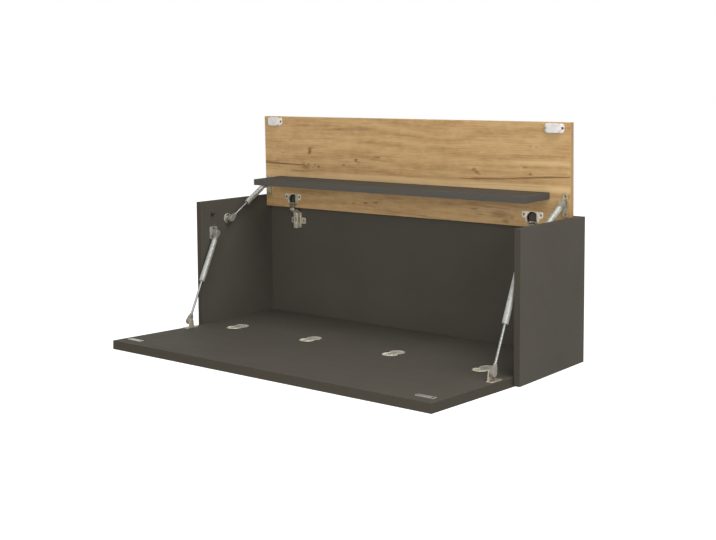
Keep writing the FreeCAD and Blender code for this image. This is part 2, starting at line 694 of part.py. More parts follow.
def hanger_recess(side):
    """The seat of the plate and the room behind it for the screw's head."""
    entry = Vector(side * HANGER_SPACING / 2, 0, 0)
    depth = -Y_AXIS * (HANGER_THICK + KEYHOLE_POCKET_DEPTH)
    pocket = slot_prism(KEYHOLE_POCKET_RADIUS, entry, Z_AXIS * HANGER_RISE, depth)
    return hanger_outline(side, FIT_GAP).fuse(pocket)


# ---- Flush flap hinges -------------------------------------------------------------------------
def base_half_centre(x):
    return Vector(x, BOTTOM_FRONT + BASE_HALF_SETBACK, BOTTOM_TOP)


def flap_half_centre(x):
    return Vector(x, FLAP_INNER, FLAP_AXIS.z)


def half_disc(centre, outward, depth, spots):
    """A die-cast half of a flush hinge: a let-in body with a rim, a dished face and sunk screws."""
    land = HALF_RIM_RADIUS - HALF_RIM_THICK / 2
    dish = land - HALF_RIM_LAND
    profile = [(0, -depth), (HALF_RADIUS, -depth), (HALF_RADIUS, 0), (HALF_RIM_RADIUS, 0),
               (HALF_RIM_RADIUS, HALF_RIM_THICK / 2), (land, HALF_RIM_THICK), (dish, HALF_RIM_THICK),
               (dish - HALF_DISH, HALF_RIM_THICK - HALF_DISH), (0, HALF_RIM_THICK - HALF_DISH)]
    disc = turned(profile, centre, outward)
    sinks = [cylinder(SCREW_HEAD_RADIUS + FIT_GAP, head, -inward, HALF_SCREW_SINK + HALF_RIM_THICK)
             for head, inward in spots]
    return disc.cut(sinks + screw_holes(spots))


def half_bore(centre, outward, depth):
    """The round bore of a half, which runs out through the edge of its board."""
    return cylinder(HALF_RADIUS + FIT_GAP, centre, -outward, depth + FIT_GAP)


def spots_near(spots, x):
    return [spot for spot in spots if abs(spot[0].x - x) < HALF_RADIUS]


def base_half(x):
    """The half in the bottom board, with the tongue that reaches the pin."""
    centre = base_half_centre(x)
    disc = half_disc(centre, Z_AXIS, BASE_HALF_DEPTH, spots_near(base_half_screw_spots(), x))
    reach = HALF_RIM_RADIUS + OVERRUN
    edge = BOTTOM_FRONT + HALF_EDGE_GAP
    before = block(x - reach, x + reach, edge - reach, edge, BOTTOM_TOP - reach, BOTTOM_TOP + reach)
    half = TONGUE_HALF_WIDTH
    tongue_top = BOTTOM_TOP + HALF_RIM_THICK
    tongue = block(x - half, x + half, FLAP_AXIS.y, centre.y, tongue_top - TONGUE_THICK, tongue_top)
    start = Vector(x - half, FLAP_AXIS.y, FLAP_AXIS.z)
    knuckle = cylinder(KNUCKLE_RADIUS, start, X_AXIS, 2 * half)
    pin_hole = cylinder(FLAP_PIN_RADIUS + RUNNING_GAP, start, X_AXIS, 2 * half)
    return cut_all(disc.cut(before).fuse([tongue, knuckle]), [pin_hole])


def flap_half(x):
    """The half in the flap, with the notch in which the tongue turns on its pin."""
    centre = flap_half_centre(x)
    disc = half_disc(centre, Y_AXIS, FLAP_HALF_DEPTH, spots_near(flap_half_screw_spots(), x))
    reach = HALF_RIM_RADIUS + OVERRUN
    edge = FLAP_LOW + HALF_EDGE_GAP
    below = block(x - reach, x + reach, FLAP_INNER - reach, FLAP_INNER + reach, edge - reach, edge)
    half = TONGUE_HALF_WIDTH + LUG_GAP
    room = KNUCKLE_RADIUS + NOTCH_GAP
    notch = block(x - half, x + half, FLAP_AXIS.y - room, FLAP_INNER + reach,
                  edge - reach, FLAP_AXIS.z + room)
    return cut_all(disc, [below, notch, flap_pin(x)])


def flap_pin(x):
    half = TONGUE_HALF_WIDTH + LUG_GAP + FLAP_PIN_HOLD
    start = Vector(x - half, FLAP_AXIS.y, FLAP_AXIS.z)
    return cylinder(FLAP_PIN_RADIUS, start, X_AXIS, 2 * half)


# ---- Flap --------------------------------------------------------------------------------------
def flap_panel():
    board = block(-FLAP_HALF, FLAP_HALF, Y_FRONT, FLAP_INNER, FLAP_LOW, FLAP_HIGH)
    board = round_edges(board)
    cuts = [half_bore(flap_half_centre(x), Y_AXIS, FLAP_HALF_DEPTH) for x in flap_hinge_places()]
    return cut_all(board, cuts + screw_holes(flap_screw_spots()))


def strike_plate(side):
    """A steel strip that the magnet of the lid holds."""
    centre = Vector(side * catch_centre_x(), FLAP_INNER, strike_centre_z())
    plate = rounded_plate(centre, STRIKE_LENGTH, STRIKE_WIDTH, STRIKE_THICK, STRIKE_CORNER, Y_AXIS, Z_AXIS)
    return cut_all(plate, screw_holes(strike_screw_spots()))


# ---- Lid and shelf -----------------------------------------------------------------------------
def lid_panel():
    board = block(-LID_HALF, LID_HALF, LID_FRONT, LID_REAR, LID_LOW, LID_HIGH)
    board = round_edges(board)
    cuts = [lid_cup_bore(side) for side in (-1, 1)]
    cuts += [cam_bolt_pilot(joint, into) for joint, into, _ in shelf_cam_places()]
    cuts += shelf_dowel_shapes(FIT_GAP) + screw_holes(lid_screw_spots())
    return cut_all(board, cuts)


def lid_shelf():
    """A board fixed square to the inner face of the lid; it hangs down when the lid is shut."""
    board = block(-SHELF_HALF, SHELF_HALF, SHELF_REAR - BOARD, SHELF_REAR,
                  LID_LOW - SHELF_DEPTH, LID_LOW)
    board = round_edges(board, lambda p: p.z < LID_LOW - EDGE_ROUND)
    cuts = [cam_bore(*place) for place in shelf_cam_places()]
    return cut_all(board, cuts + shelf_dowel_shapes(FIT_GAP))


# ---- Concealed lid hinges ----------------------------------------------------------------------
def lid_cup_centre(side):
    return Vector(side * LID_HINGE_X, lid_cup_centre_y(), LID_LOW)


def lid_cup_bore(side):
    depth = LID_CUP_DEPTH + FIT_GAP
    return cylinder(LID_CUP_RADIUS + FIT_GAP, lid_cup_centre(side), Z_AXIS, depth)


def lid_cup(side):
    """A pressed cup with screw wings and two lugs that hold the pivot pin."""
    centre = lid_cup_centre(side)
    inner = LID_CUP_RADIUS - LID_CUP_WALL
    profile = [(0, LID_CUP_DEPTH), (LID_CUP_RADIUS, LID_CUP_DEPTH), (LID_CUP_RADIUS, 0),
               (LID_CUP_RADIUS + CUP_FLANGE_LAP, 0), (LID_CUP_RADIUS + CUP_FLANGE_LAP, -CUP_FLANGE_THICK),
               (inner, -CUP_FLANGE_THICK), (inner, LID_CUP_DEPTH - LID_CUP_WALL),
               (0, LID_CUP_DEPTH - LID_CUP_WALL)]
    cup = turned(profile, centre, Z_AXIS)
    wing_centre = centre - Y_AXIS * CUP_WING_OFFSET
    wings = rounded_plate(wing_centre, CUP_WING_WIDTH, CUP_WING_HEIGHT, CUP_FLANGE_THICK,
                          CUP_WING_CORNER, -Z_AXIS, Y_AXIS)
    wings = wings.cut(cylinder(inner, centre, -Z_AXIS, CUP_FLANGE_THICK))
    lugs = []
    for way in (-1, 1):
        near = centre.x + way * (ARM_HALF_WIDTH + LUG_GAP)
        far = near + way * CUP_LUG_WIDTH
        lugs.append(block(min(near, far), max(near, far), LID_AXIS.y - CUP_LUG_HALF_DEPTH,
                          LID_AXIS.y + CUP_LUG_HALF_DEPTH, LID_AXIS.z - CUP_LUG_HALF_DEPTH,
                          LID_LOW + LID_CUP_DEPTH))
    reach = LID_CUP_RADIUS + CUP_FLANGE_LAP + OVERRUN
    behind = block(centre.x - reach, centre.x + reach, LID_REAR - CUP_BACK_CLIP, LID_REAR + reach,
                   LID_LOW - CUP_FLANGE_THICK - OVERRUN, LID_LOW)
    return cut_all(cup.fuse([wings] + lugs), [behind, lid_pin(side)] + screw_holes(cup_wing_screw_spots()))


def lid_pin(side):
    half = ARM_HALF_WIDTH + LUG_GAP + CUP_LUG_WIDTH
    start = Vector(side * LID_HINGE_X - half, LID_AXIS.y, LID_AXIS.z)
    return cylinder(LID_PIN_RADIUS, start, X_AXIS, 2 * half)


def arm_side(inset, x, top_z):
    """Side face of the channel-shaped part of the arm, with a rounded shoulder at its rear."""
    crank_y = LID_AXIS.y - ARM_CRANK + inset
    front_y = BACK_FACE - ARM_FRONT + inset
    rear_y = BACK_FACE - PLATE_THICK
    step_z = LID_AXIS.z - ARM_CRANK_DROP
    foot_z = LID_AXIS.z - ARM_LENGTH
    neck = Vector(x, LID_AXIS.y - ARM_CRANK + ARM_NECK, top_z)
    shoulder = Vector(x, rear_y, LID_AXIS.z - ARM_SHOULDER_DROP)
    outward = (shoulder - neck).cross(X_AXIS)
    outward.normalize()
    middle = (neck + shoulder) * 0.5 - outward * ARM_SHOULDER_BULGE
    points = [neck, Vector(x, crank_y, top_z), Vector(x, crank_y, step_z),
              Vector(x, front_y, step_z - ARM_STEP), Vector(x, front_y, foot_z),
              Vector(x, rear_y, foot_z), shoulder]
    edges = Part.makePolygon(points).Edges + [Part.Arc(shoulder, middle, neck).toShape()]
    return Part.Face(Part.Wire(edges))


def hinge_arm(side):
    """A cranked arm: a hook that reaches into the cup and a channel over the mounting plate."""
    x = side * LID_HINGE_X
    half = ARM_HALF_WIDTH
    swing = math.hypot(LID_AXIS_EDGE, LID_AXIS_IN)
    hook_drop = swing + ARM_SWING_GAP
    hook_z = LID_AXIS.z - hook_drop
    inner_half = half - ARM_SHEET
    hollow = arm_side(ARM_SHEET, x - inner_half, hook_z).extrude(X_AXIS * (2 * inner_half))
    channel = arm_side(0.0, x - half, hook_z).extrude(X_AXIS * (2 * half)).cut(hollow)
    left = x - half
    front = LID_AXIS.y - ARM_CRANK
    top = LID_AXIS.z + ARM_SHEET / 2
    hook = block(left, left + 2 * half, front, LID_AXIS.y, top - ARM_SHEET, top)
    riser = block(left, left + 2 * half, front, front + ARM_SHEET, hook_z, top)
    start = Vector(left, LID_AXIS.y, LID_AXIS.z)
    knuckle = cylinder(ARM_KNUCKLE_RADIUS, start, X_AXIS, 2 * half)
    arm = channel.fuse([hook, riser, knuckle]).removeSplitter()
    bends = [edge for edge in arm.Edges if is_crank_bend(edge, front, top)]
    arm = arm.makeFillet(ARM_BEND, bends)
    pin_hole = cylinder(LID_PIN_RADIUS + RUNNING_GAP, start, X_AXIS, 2 * half)
    screw_way = cylinder(ARM_SCREW_RADIUS + FIT_GAP, arm_screw_start(side), Y_AXIS, ARM_SHEET)
    return cut_all(arm, [pin_hole, screw_way])


def is_crank_bend(edge, front, top):
    """The outer corner of the hook, where the sheet turns down."""
    middle = edge.CenterOfMass
    return abs(middle.y - front) < 1e-6 and abs(middle.z - top) < 1e-6


def arm_screw_start(side):
    return Vector(side * LID_HINGE_X, BACK_FACE - ARM_FRONT, LID_AXIS.z - ARM_SCREW_DROP)


def arm_screw(side):
    """A pan-head screw that clamps the arm on its mounting plate."""
    profile = [(0, -ARM_SCREW_HEAD), (ARM_SCREW_CROWN_RADIUS, -ARM_SCREW_HEAD),
               (ARM_SCREW_HEAD_RADIUS, -ARM_SCREW_EDGE), (ARM_SCREW_HEAD_RADIUS, 0),
               (ARM_SCREW_RADIUS, 0), (ARM_SCREW_RADIUS, ARM_SCREW_DEPTH), (0, ARM_SCREW_DEPTH)]
    start = arm_screw_start(side)
    body = turned(profile, start, Y_AXIS)
    bars = [centred_block(start - Y_AXIS * ARM_SCREW_HEAD, wide, 2 * CROSS_DEPTH, high)
            for wide, high in ((CROSS_LENGTH, CROSS_WIDTH), (CROSS_WIDTH, CROSS_LENGTH))]
    return body.cut(bars)


def mounting_plate(side):
    """A cross-shaped plate on the back board with a raised rib that fills the arm."""
    x = side * LID_HINGE_X
    wing_z = LID_AXIS.z - PLATE_WING_DROP
    foot_z = LID_AXIS.z - ARM_LENGTH
    wings = rounded_plate(Vector(x, BACK_FACE, wing_z), PLATE_WING_WIDTH, PLATE_WING_HEIGHT, PLATE_THICK,
                          PLATE_WING_CORNER, -Y_AXIS, Z_AXIS)
    spine = rounded_plate(Vector(x, BACK_FACE, foot_z + PLATE_SPINE_LENGTH / 2), 2 * ARM_FOOT_HALF_WIDTH,
                          PLATE_SPINE_LENGTH, PLATE_THICK, PLATE_SPINE_CORNER, -Y_AXIS, Z_AXIS)
    rib_half = ARM_HALF_WIDTH - ARM_SHEET
    rib_front = BACK_FACE - ARM_FRONT + ARM_SHEET
    rib = block(x - rib_half, x + rib_half, rib_front, BACK_FACE, foot_z + ARM_SHEET,
                LID_AXIS.z - ARM_CRANK_DROP - ARM_STEP)
    tapped = cylinder(ARM_SCREW_RADIUS + FIT_GAP, arm_screw_start(side), Y_AXIS, ARM_SCREW_DEPTH + FIT_GAP)
    return cut_all(wings.fuse([spine, rib]), [tapped] + screw_holes(mounting_plate_screw_spots()))


# ---- Magnetic catches --------------------------------------------------------------------------
def catch_housing(side):
    """A moulded housing with two screw ears, open in front for the magnet."""
    x = side * catch_centre_x()
    front = catch_face_y() + CATCH_RECESS
    body_half = CATCH_WIDTH / 2 - CATCH_EAR_WIDTH
    centre = Vector(x, front + CATCH_DEPTH / 2, LID_LOW)
    ears = rounded_plate(centre, CATCH_WIDTH, CATCH_DEPTH, CATCH_EAR_THICK, CATCH_CORNER, -Z_AXIS, Y_AXIS)
    body = block(x - body_half, x + body_half, front, front + CATCH_DEPTH, LID_LOW - CATCH_HEIGHT, LID_LOW)
    middle_z = LID_LOW - CATCH_HEIGHT / 2
    rear = [edge for edge in body.Edges
            if edge.CenterOfMass.y > centre.y and abs(edge.CenterOfMass.z - middle_z) < 1e-6]
    body = body.makeFillet(CATCH_REAR_ROUND, [edge for edge in rear if abs(edge.CenterOfMass.x - x) > 1e-6])
    lower = [edge for edge in body.Edges if edge.CenterOfMass.z < LID_LOW - CATCH_HEIGHT + 1e-6]
    body = body.makeFillet(CATCH_BODY_ROUND, lower)
    housing = ears.fuse(body).removeSplitter()
    return cut_all(housing, [magnet_shape(side, FIT_GAP)] + screw_holes(catch_screw_spots()))


def magnet_shape(side, gap):
    """The magnet between its pole plates, or its seat when a gap is given."""
    x = side * catch_centre_x()
    front = catch_face_y()
    middle = magnet_middle_z()
    half_wide = MAGNET_WIDTH / 2 + gap
    half_high = MAGNET_HEIGHT / 2 + gap
    return block(x - half_wide, x + half_wide, front, front + MAGNET_DEPTH + gap,
                 middle - half_high, middle + half_high)


# ---- Strut plates and brackets -----------------------------------------------------------------
def square_side_plate():
    """The plate behind the upper end of the right flap strut."""
    centre = Vector(SIDE_IN, FLAP_STRUT_TOP.y, FLAP_STRUT_TOP.z)
    plate = rounded_plate(centre, SQUARE_PLATE_WIDTH, SQUARE_PLATE_HEIGHT, SIDE_PLATE_THICK,
                          SQUARE_PLATE_CORNER, -X_AXIS, Z_AXIS)
    return cut_all(plate, screw_holes(side_plate_screw_spots()))


def round_side_plate():
    """The plate behind the lower end of the right lid strut."""
    centre = Vector(SIDE_IN, LID_STRUT_LOW.y, LID_STRUT_LOW.z)
    profile = [(0, 0), (ROUND_PLATE_RADIUS, 0), (ROUND_PLATE_RADIUS, SIDE_PLATE_THICK - PLATE_RIM),
               (ROUND_PLATE_RADIUS - PLATE_RIM, SIDE_PLATE_THICK), (0, SIDE_PLATE_THICK)]
    return cut_all(turned(profile, centre, -X_AXIS), screw_holes(side_plate_screw_spots()))


def strut_bracket(foot_centre, length, width, ball, normal, up, spots):
    """An angle bracket: a screwed foot, an upright ear and a ball stud that points to the side."""
    inner = ear_inner_x()
    middle = Vector(inner + width / 2, foot_centre.y, foot_centre.z)
    foot = rounded_plate(middle, width, length, BRACKET_THICK, BRACKET_CORNER, normal, up)
    hub = Vector(inner, ball.y, ball.z)
    disc = cylinder(EAR_RADIUS, hub, X_AXIS, BRACKET_THICK)
    base = hub - normal * (hub - foot_centre).dot(normal)
    flank = up * (EAR_RADIUS + BRACKET_CORNER)
    outline = [base - flank, base + flank, hub + up * EAR_RADIUS, hub - up * EAR_RADIUS]
    ear = prism(outline, X_AXIS * BRACKET_THICK)
    reach = STRUT_X - inner - BRACKET_THICK / 2
    stud = turned_ball(BALL_RADIUS, STUD_RADIUS, [(STUD_RADIUS, reach), (0, reach)],
                       Vector(STRUT_X, ball.y, ball.z), -X_AXIS)
    bracket = foot.fuse([disc, ear, stud]).removeSplitter()
    return cut_all(bracket, screw_holes(spots))


def flap_bracket():
    foot = Vector(0, FLAP_INNER, FLAP_BALL_SHUT.z - BRACKET_SHIFT)
    return strut_bracket(foot, FLAP_BRACKET_LENGTH, FLAP_BRACKET_WIDTH, FLAP_BALL_SHUT, Y_AXIS, Z_AXIS,
                         flap_bracket_screw_spots())


def lid_bracket():
    foot = Vector(0, LID_BALL_SHUT.y + BRACKET_SHIFT, LID_LOW)
    return strut_bracket(foot, LID_BRACKET_LENGTH, LID_BRACKET_WIDTH, LID_BALL_SHUT, -Z_AXIS, Y_AXIS,
                         lid_bracket_screw_spots())


# ---- Gas struts --------------------------------------------------------------------------------
# A strut is drawn along +Z from the ball of its tube end at the origin, and is then laid between
# its two pivots on the right side of the desk. The socket on the side board has its mouth towards
# +X, and the one on the flap or lid towards -X, where the ear of the bracket stands.
def socket(length, neck_radius, mouth_way):
    """A moulded ball socket: a bevelled eye that tapers to a round, bored neck along +Z."""
    half = SOCKET_HALF_WIDTH
    bevel = SOCKET_BEVEL
    radius = SOCKET_RADIUS
    eye = turned([(0, -half), (radius - bevel, -half), (radius, bevel - half), (radius, half - bevel),
                  (radius - bevel, half), (0, half)], ORIGIN, X_AXIS)
    lean = math.asin((radius - neck_radius) / (length - NECK_LENGTH))
    hip = radius * math.cos(lean)
    hip_height = radius * math.sin(lean)
    inset = half - bevel
    neck_start = length - NECK_LENGTH
    flank = [Vector(-inset, -hip, hip_height), Vector(-inset, hip, hip_height),
             Vector(-inset, neck_radius, neck_start), Vector(-inset, -neck_radius, neck_start)]
    web = prism(flank, X_AXIS * (2 * inset))
    neck = cylinder(neck_radius, Z_AXIS * hip_height, Z_AXIS, length - hip_height)
    mouth = SOCKET_MOUTH_RADIUS
    seat = turned_ball(BALL_RADIUS + BALL_GAP, mouth, [(mouth, radius), (0, radius)], ORIGIN, mouth_way)
    bore = cylinder(ROD_THREAD_RADIUS + FIT_GAP, Z_AXIS * length, -Z_AXIS, ROD_THREAD_LENGTH)
    return cut_all(eye.fuse([web, neck]), [seat, bore])


def tube_socket(mouth_way):
    return socket(TUBE_SOCKET_LENGTH, TUBE_NECK_RADIUS, mouth_way)


def rod_socket(length, mouth_way):
    """The socket on the rod, turned to face back along the strut."""
    piece = socket(ROD_SOCKET_LENGTH, ROD_NECK_RADIUS, mouth_way)
    piece.rotate(ORIGIN, X_AXIS, 180)
    piece.translate(Z_AXIS * length)
    return piece


def tube(length):
    """A drawn tube with a closed end, a threaded stub, a rolled mouth and a crimp on the guide."""
    near = TUBE_SOCKET_LENGTH
    far = near + length
    inner = TUBE_RADIUS - TUBE_WALL
    stub = near - ROD_THREAD_LENGTH
    crimp = far - TUBE_WALL - GUIDE_LENGTH / 2
    profile = [(0, stub), (ROD_THREAD_RADIUS, stub), (ROD_THREAD_RADIUS, near),
               (TUBE_RADIUS - TUBE_LIP, near), (TUBE_RADIUS, near + TUBE_LIP),
               (TUBE_RADIUS, crimp - CRIMP_WIDTH / 2), (TUBE_RADIUS - CRIMP_DEPTH, crimp - CRIMP_WIDTH / 4),
               (TUBE_RADIUS - CRIMP_DEPTH, crimp + CRIMP_WIDTH / 4), (TUBE_RADIUS, crimp + CRIMP_WIDTH / 2),
               (TUBE_RADIUS, far - TUBE_LIP), (TUBE_RADIUS - TUBE_LIP, far),
               (ROD_RADIUS + TUBE_LIP, far), (ROD_RADIUS + TUBE_LIP, far - TUBE_WALL),
               (inner, far - TUBE_WALL), (inner, near + TUBE_WALL), (0, near + TUBE_WALL)]
    return turned(profile, ORIGIN, Z_AXIS)


def guide(tube_length):
    """The rod guide with its seal, behind the rolled mouth."""
    far = TUBE_SOCKET_LENGTH + tube_length - TUBE_WALL
    outer = TUBE_RADIUS - TUBE_WALL
    bore = ROD_RADIUS + RUNNING_GAP
    profile = [(bore, far - GUIDE_LENGTH), (outer, far - GUIDE_LENGTH), (outer, far), (bore, far)]
    return turned(profile, ORIGIN, Z_AXIS)


def rod(strut_length, tube_length):
    """The piston rod with its piston against the guide, and its thread in the socket."""
    mouth = TUBE_SOCKET_LENGTH + tube_length - TUBE_WALL - GUIDE_LENGTH
    piston_end = mouth - PISTON_STOP_GAP
    piston_start = piston_end - PISTON_LENGTH
    piston = TUBE_RADIUS - TUBE_WALL - PISTON_GAP
    bare_end = strut_length - ROD_SOCKET_LENGTH
    thread_end = bare_end + ROD_THREAD_LENGTH
    profile = [(0, piston_start), (piston, piston_start), (piston, piston_end), (ROD_RADIUS, piston_end),
               (ROD_RADIUS, bare_end), (ROD_THREAD_RADIUS, bare_end), (ROD_THREAD_RADIUS, thread_end),
               (0, thread_end)]
    return turned(profile, ORIGIN, Z_AXIS)


def side_stud(height):
    """The ball stud at the side board, with the flat foot that lies on the side plate."""
    foot_face = STRUT_FROM_SIDE - SIDE_PLATE_THICK - FOOT_GAP
    foot_start = foot_face - FOOT_THICK
    beyond = [(STUD_RADIUS, foot_start), (FOOT_RADIUS, foot_start), (FOOT_RADIUS, foot_face), (0, foot_face)]
    return turned_ball(BALL_RADIUS, STUD_RADIUS, beyond, Z_AXIS * height, X_AXIS)


def laid(shape, tube_pivot, rod_pivot):
    """Lay a strut piece between its pivots, tube end first."""
    along = rod_pivot - tube_pivot
    degrees = math.degrees(math.atan2(-along.y, along.z))
    piece = shape.copy()
    piece.rotate(ORIGIN, X_AXIS, degrees)
    piece.translate(tube_pivot)
    return piece


def flap_strut_pivots():
    """Tube pivot on the side board and rod pivot on the open flap."""
    return FLAP_STRUT_TOP, opened_point(FLAP_BALL_SHUT, FLAP_AXIS, FLAP_OPENING)


def lid_strut_pivots():
    """Tube pivot on the open lid and rod pivot on the side board."""
    return opened_point(LID_BALL_SHUT, LID_AXIS, -LID_OPENING), LID_STRUT_LOW


def strut_pieces(pivots, tube_length, stud_at_tube):
    """The pieces of one extended strut, by name."""
    tube_pivot, rod_pivot = pivots
    length = (rod_pivot - tube_pivot).Length
    tube_mouth, rod_mouth = (X_AXIS, -X_AXIS) if stud_at_tube else (-X_AXIS, X_AXIS)
    pieces = {"tube": tube(tube_length), "tube_socket": tube_socket(tube_mouth),
              "rod_guide": guide(tube_length), "rod": rod(length, tube_length),
              "rod_socket": rod_socket(length, rod_mouth),
              "ball_stud": side_stud(0.0 if stud_at_tube else length)}
    return {name: laid(shape, tube_pivot, rod_pivot) for name, shape in pieces.items()}


# ---- The whole desk ------------------------------------------------------------------------------
def carcass_nodes():
    side = side_panel()
    cams = carcass_cam_places()
    return {
        "right_side_panel": [side],
        "left_side_panel": [mirrored(side)],
        "bottom_panel": [bottom_panel()],
        "back_panel": [back_panel()],
        "carcass_cam_discs": [cam_disc(*place) for place in cams],
        "carcass_cam_bolts": [cam_bolt(joint, into) for joint, into, _ in cams],
        "carcass_dowels": dowel_shapes(),
        "lid_rest_pegs": both_sides(rest_peg()),
        "wall_hanger_plates": [hanger_plate(side_sign) for side_sign in (-1, 1)],
        "lid_hinge_mounting_plates": [mounting_plate(side_sign) for side_sign in (-1, 1)],
        "lid_hinge_arms": [hinge_arm(side_sign) for side_sign in (-1, 1)],
        "lid_hinge_arm_screws": [arm_screw(side_sign) for side_sign in (-1, 1)],
        "flap_hinge_base_cups": [base_half(x) for x in flap_hinge_places()],
        "flap_strut_side_plates": both_sides(square_side_plate()),
        "lid_strut_side_plates": both_sides(round_side_plate()),
        "carcass_fitting_screws": screws(carcass_screw_spots()),
    }


def flap_nodes():
    shut = {
        "flap_panel": [flap_panel()],
        "flap_hinge_cups": [flap_half(x) for x in flap_hinge_places()],
        "flap_hinge_pins": [flap_pin(x) for x in flap_hinge_places()],
        "flap_strut_brackets": both_sides(flap_bracket()),
        "strike_plates": [strike_plate(side_sign) for side_sign in (-1, 1)],
        "flap_fitting_screws": screws(flap_screw_spots()),
    }
    return {name: [flap_open(shape) for shape in shapes] for name, shapes in shut.items()}


def lid_nodes():
    cams = shelf_cam_places()
    shut = {
        "lid_panel": [lid_panel()],
        "lid_shelf": [lid_shelf()],
        "shelf_cam_discs": [cam_disc(*place) for place in cams],
        "shelf_cam_bolts": [cam_bolt(joint, into) for joint, into, _ in cams],
        "shelf_dowels": shelf_dowel_shapes(),
        "lid_hinge_cups": [lid_cup(side_sign) for side_sign in (-1, 1)],
        "lid_hinge_pins": [lid_pin(side_sign) for side_sign in (-1, 1)],
        "magnet_housings": [catch_housing(side_sign) for side_sign in (-1, 1)],
        "catch_magnets": [magnet_shape(side_sign, 0.0) for side_sign in (-1, 1)],
        "lid_strut_brackets": both_sides(lid_bracket()),
        "lid_fitting_screws": screws(lid_screw_spots()),
    }
    return {name: [lid_open(shape) for shape in shapes] for name, shapes in shut.items()}


def strut_nodes():
    nodes = {}
    kinds = {"flap_strut": strut_pieces(flap_strut_pivots(), FLAP_TUBE_LENGTH, True),
             "lid_strut": strut_pieces(lid_strut_pivots(), LID_TUBE_LENGTH, False)}
    for kind, pieces in kinds.items():
        for name, shape in pieces.items():
            nodes[f"right_{kind}_{name}"] = [shape]
            nodes[f"left_{kind}_{name}"] = [mirrored(shape)]
    return nodes


def write_nodes(nodes):
    """One STEP file per node; a node of several solids is written as a compound."""
    os.makedirs("parts", exist_ok=True)
    for name, shapes in nodes.items():
        whole = shapes[0] if len(shapes) == 1 else Part.makeCompound(shapes)
        whole.exportStep(f"parts/{name}.step")


write_nodes({**carcass_nodes(), **flap_nodes(), **lid_nodes(), **strut_nodes()})
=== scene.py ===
"""Dress the fold-down wall desk: board decors, metal, plastic, small fittings, light and camera.

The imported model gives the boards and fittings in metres. X runs along the desk, Y = 0 is the wall
plane with the desk at negative Y, and Z points up from the line of the wall hanger holes.
"""
import json
import logging
import math
from contextlib import contextmanager
from dataclasses import dataclass, field, replace
from enum import Enum
from typing import Iterator, Sequence

import bpy
import numpy as np
from mathutils import Matrix, Vector

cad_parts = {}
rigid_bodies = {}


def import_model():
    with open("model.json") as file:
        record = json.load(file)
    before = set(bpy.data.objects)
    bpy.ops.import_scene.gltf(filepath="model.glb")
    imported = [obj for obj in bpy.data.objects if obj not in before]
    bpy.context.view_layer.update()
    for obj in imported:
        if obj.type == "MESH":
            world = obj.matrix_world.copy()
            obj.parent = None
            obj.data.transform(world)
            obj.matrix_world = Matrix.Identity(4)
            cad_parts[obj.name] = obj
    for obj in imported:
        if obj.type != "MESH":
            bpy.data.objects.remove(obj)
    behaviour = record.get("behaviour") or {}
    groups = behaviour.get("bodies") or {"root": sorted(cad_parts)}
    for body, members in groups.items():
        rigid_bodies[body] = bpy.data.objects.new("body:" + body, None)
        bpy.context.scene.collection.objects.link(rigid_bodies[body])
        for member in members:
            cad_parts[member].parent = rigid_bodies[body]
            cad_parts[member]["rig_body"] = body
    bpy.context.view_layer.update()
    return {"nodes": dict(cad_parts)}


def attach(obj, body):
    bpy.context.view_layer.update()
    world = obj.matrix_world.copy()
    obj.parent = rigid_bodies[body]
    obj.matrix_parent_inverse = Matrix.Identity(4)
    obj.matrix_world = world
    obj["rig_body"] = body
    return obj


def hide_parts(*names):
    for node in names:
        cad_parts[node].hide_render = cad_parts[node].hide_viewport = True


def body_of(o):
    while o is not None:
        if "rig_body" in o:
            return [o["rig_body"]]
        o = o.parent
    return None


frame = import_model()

Pair = tuple[float, float]
Triple = tuple[float, float, float]
Colour = Triple
Socket = bpy.types.NodeSocket
Node = bpy.types.Node
Material = bpy.types.Material
Piece = bpy.types.Object

LOG = logging.getLogger("wall_desk")
WHITE = (1.0, 1.0, 1.0, 1.0)

# Where the lamps aim.
LIT_POINT = Vector((0.0, -0.3, -0.1))
# Corners of a triangle mesh that are closer than this, in metres, are one corner.
WELD_REACH = 0.000002
# Most values of a noise lie between these.
NOISE_SPAN = (0.3, 0.7)
# A face looks along an axis when that part of its normal is larger than this.
FACING = 0.7


class Slot(Enum):
    """Material slots of the record."""

    DARK_BOARD = "dark_board"
    OAK_BOARD = "oak_board"
    ZINC = "zinc_steel"
    NICKEL = "nickel_steel"
    TUBE = "strut_tube"
    ROD = "strut_rod"
    SOCKET = "socket_plastic"
    BLACK = "black_plastic"
    WHITE = "white_plastic"
    SEAL = "seal"
    BEECH = "dowel_beech"


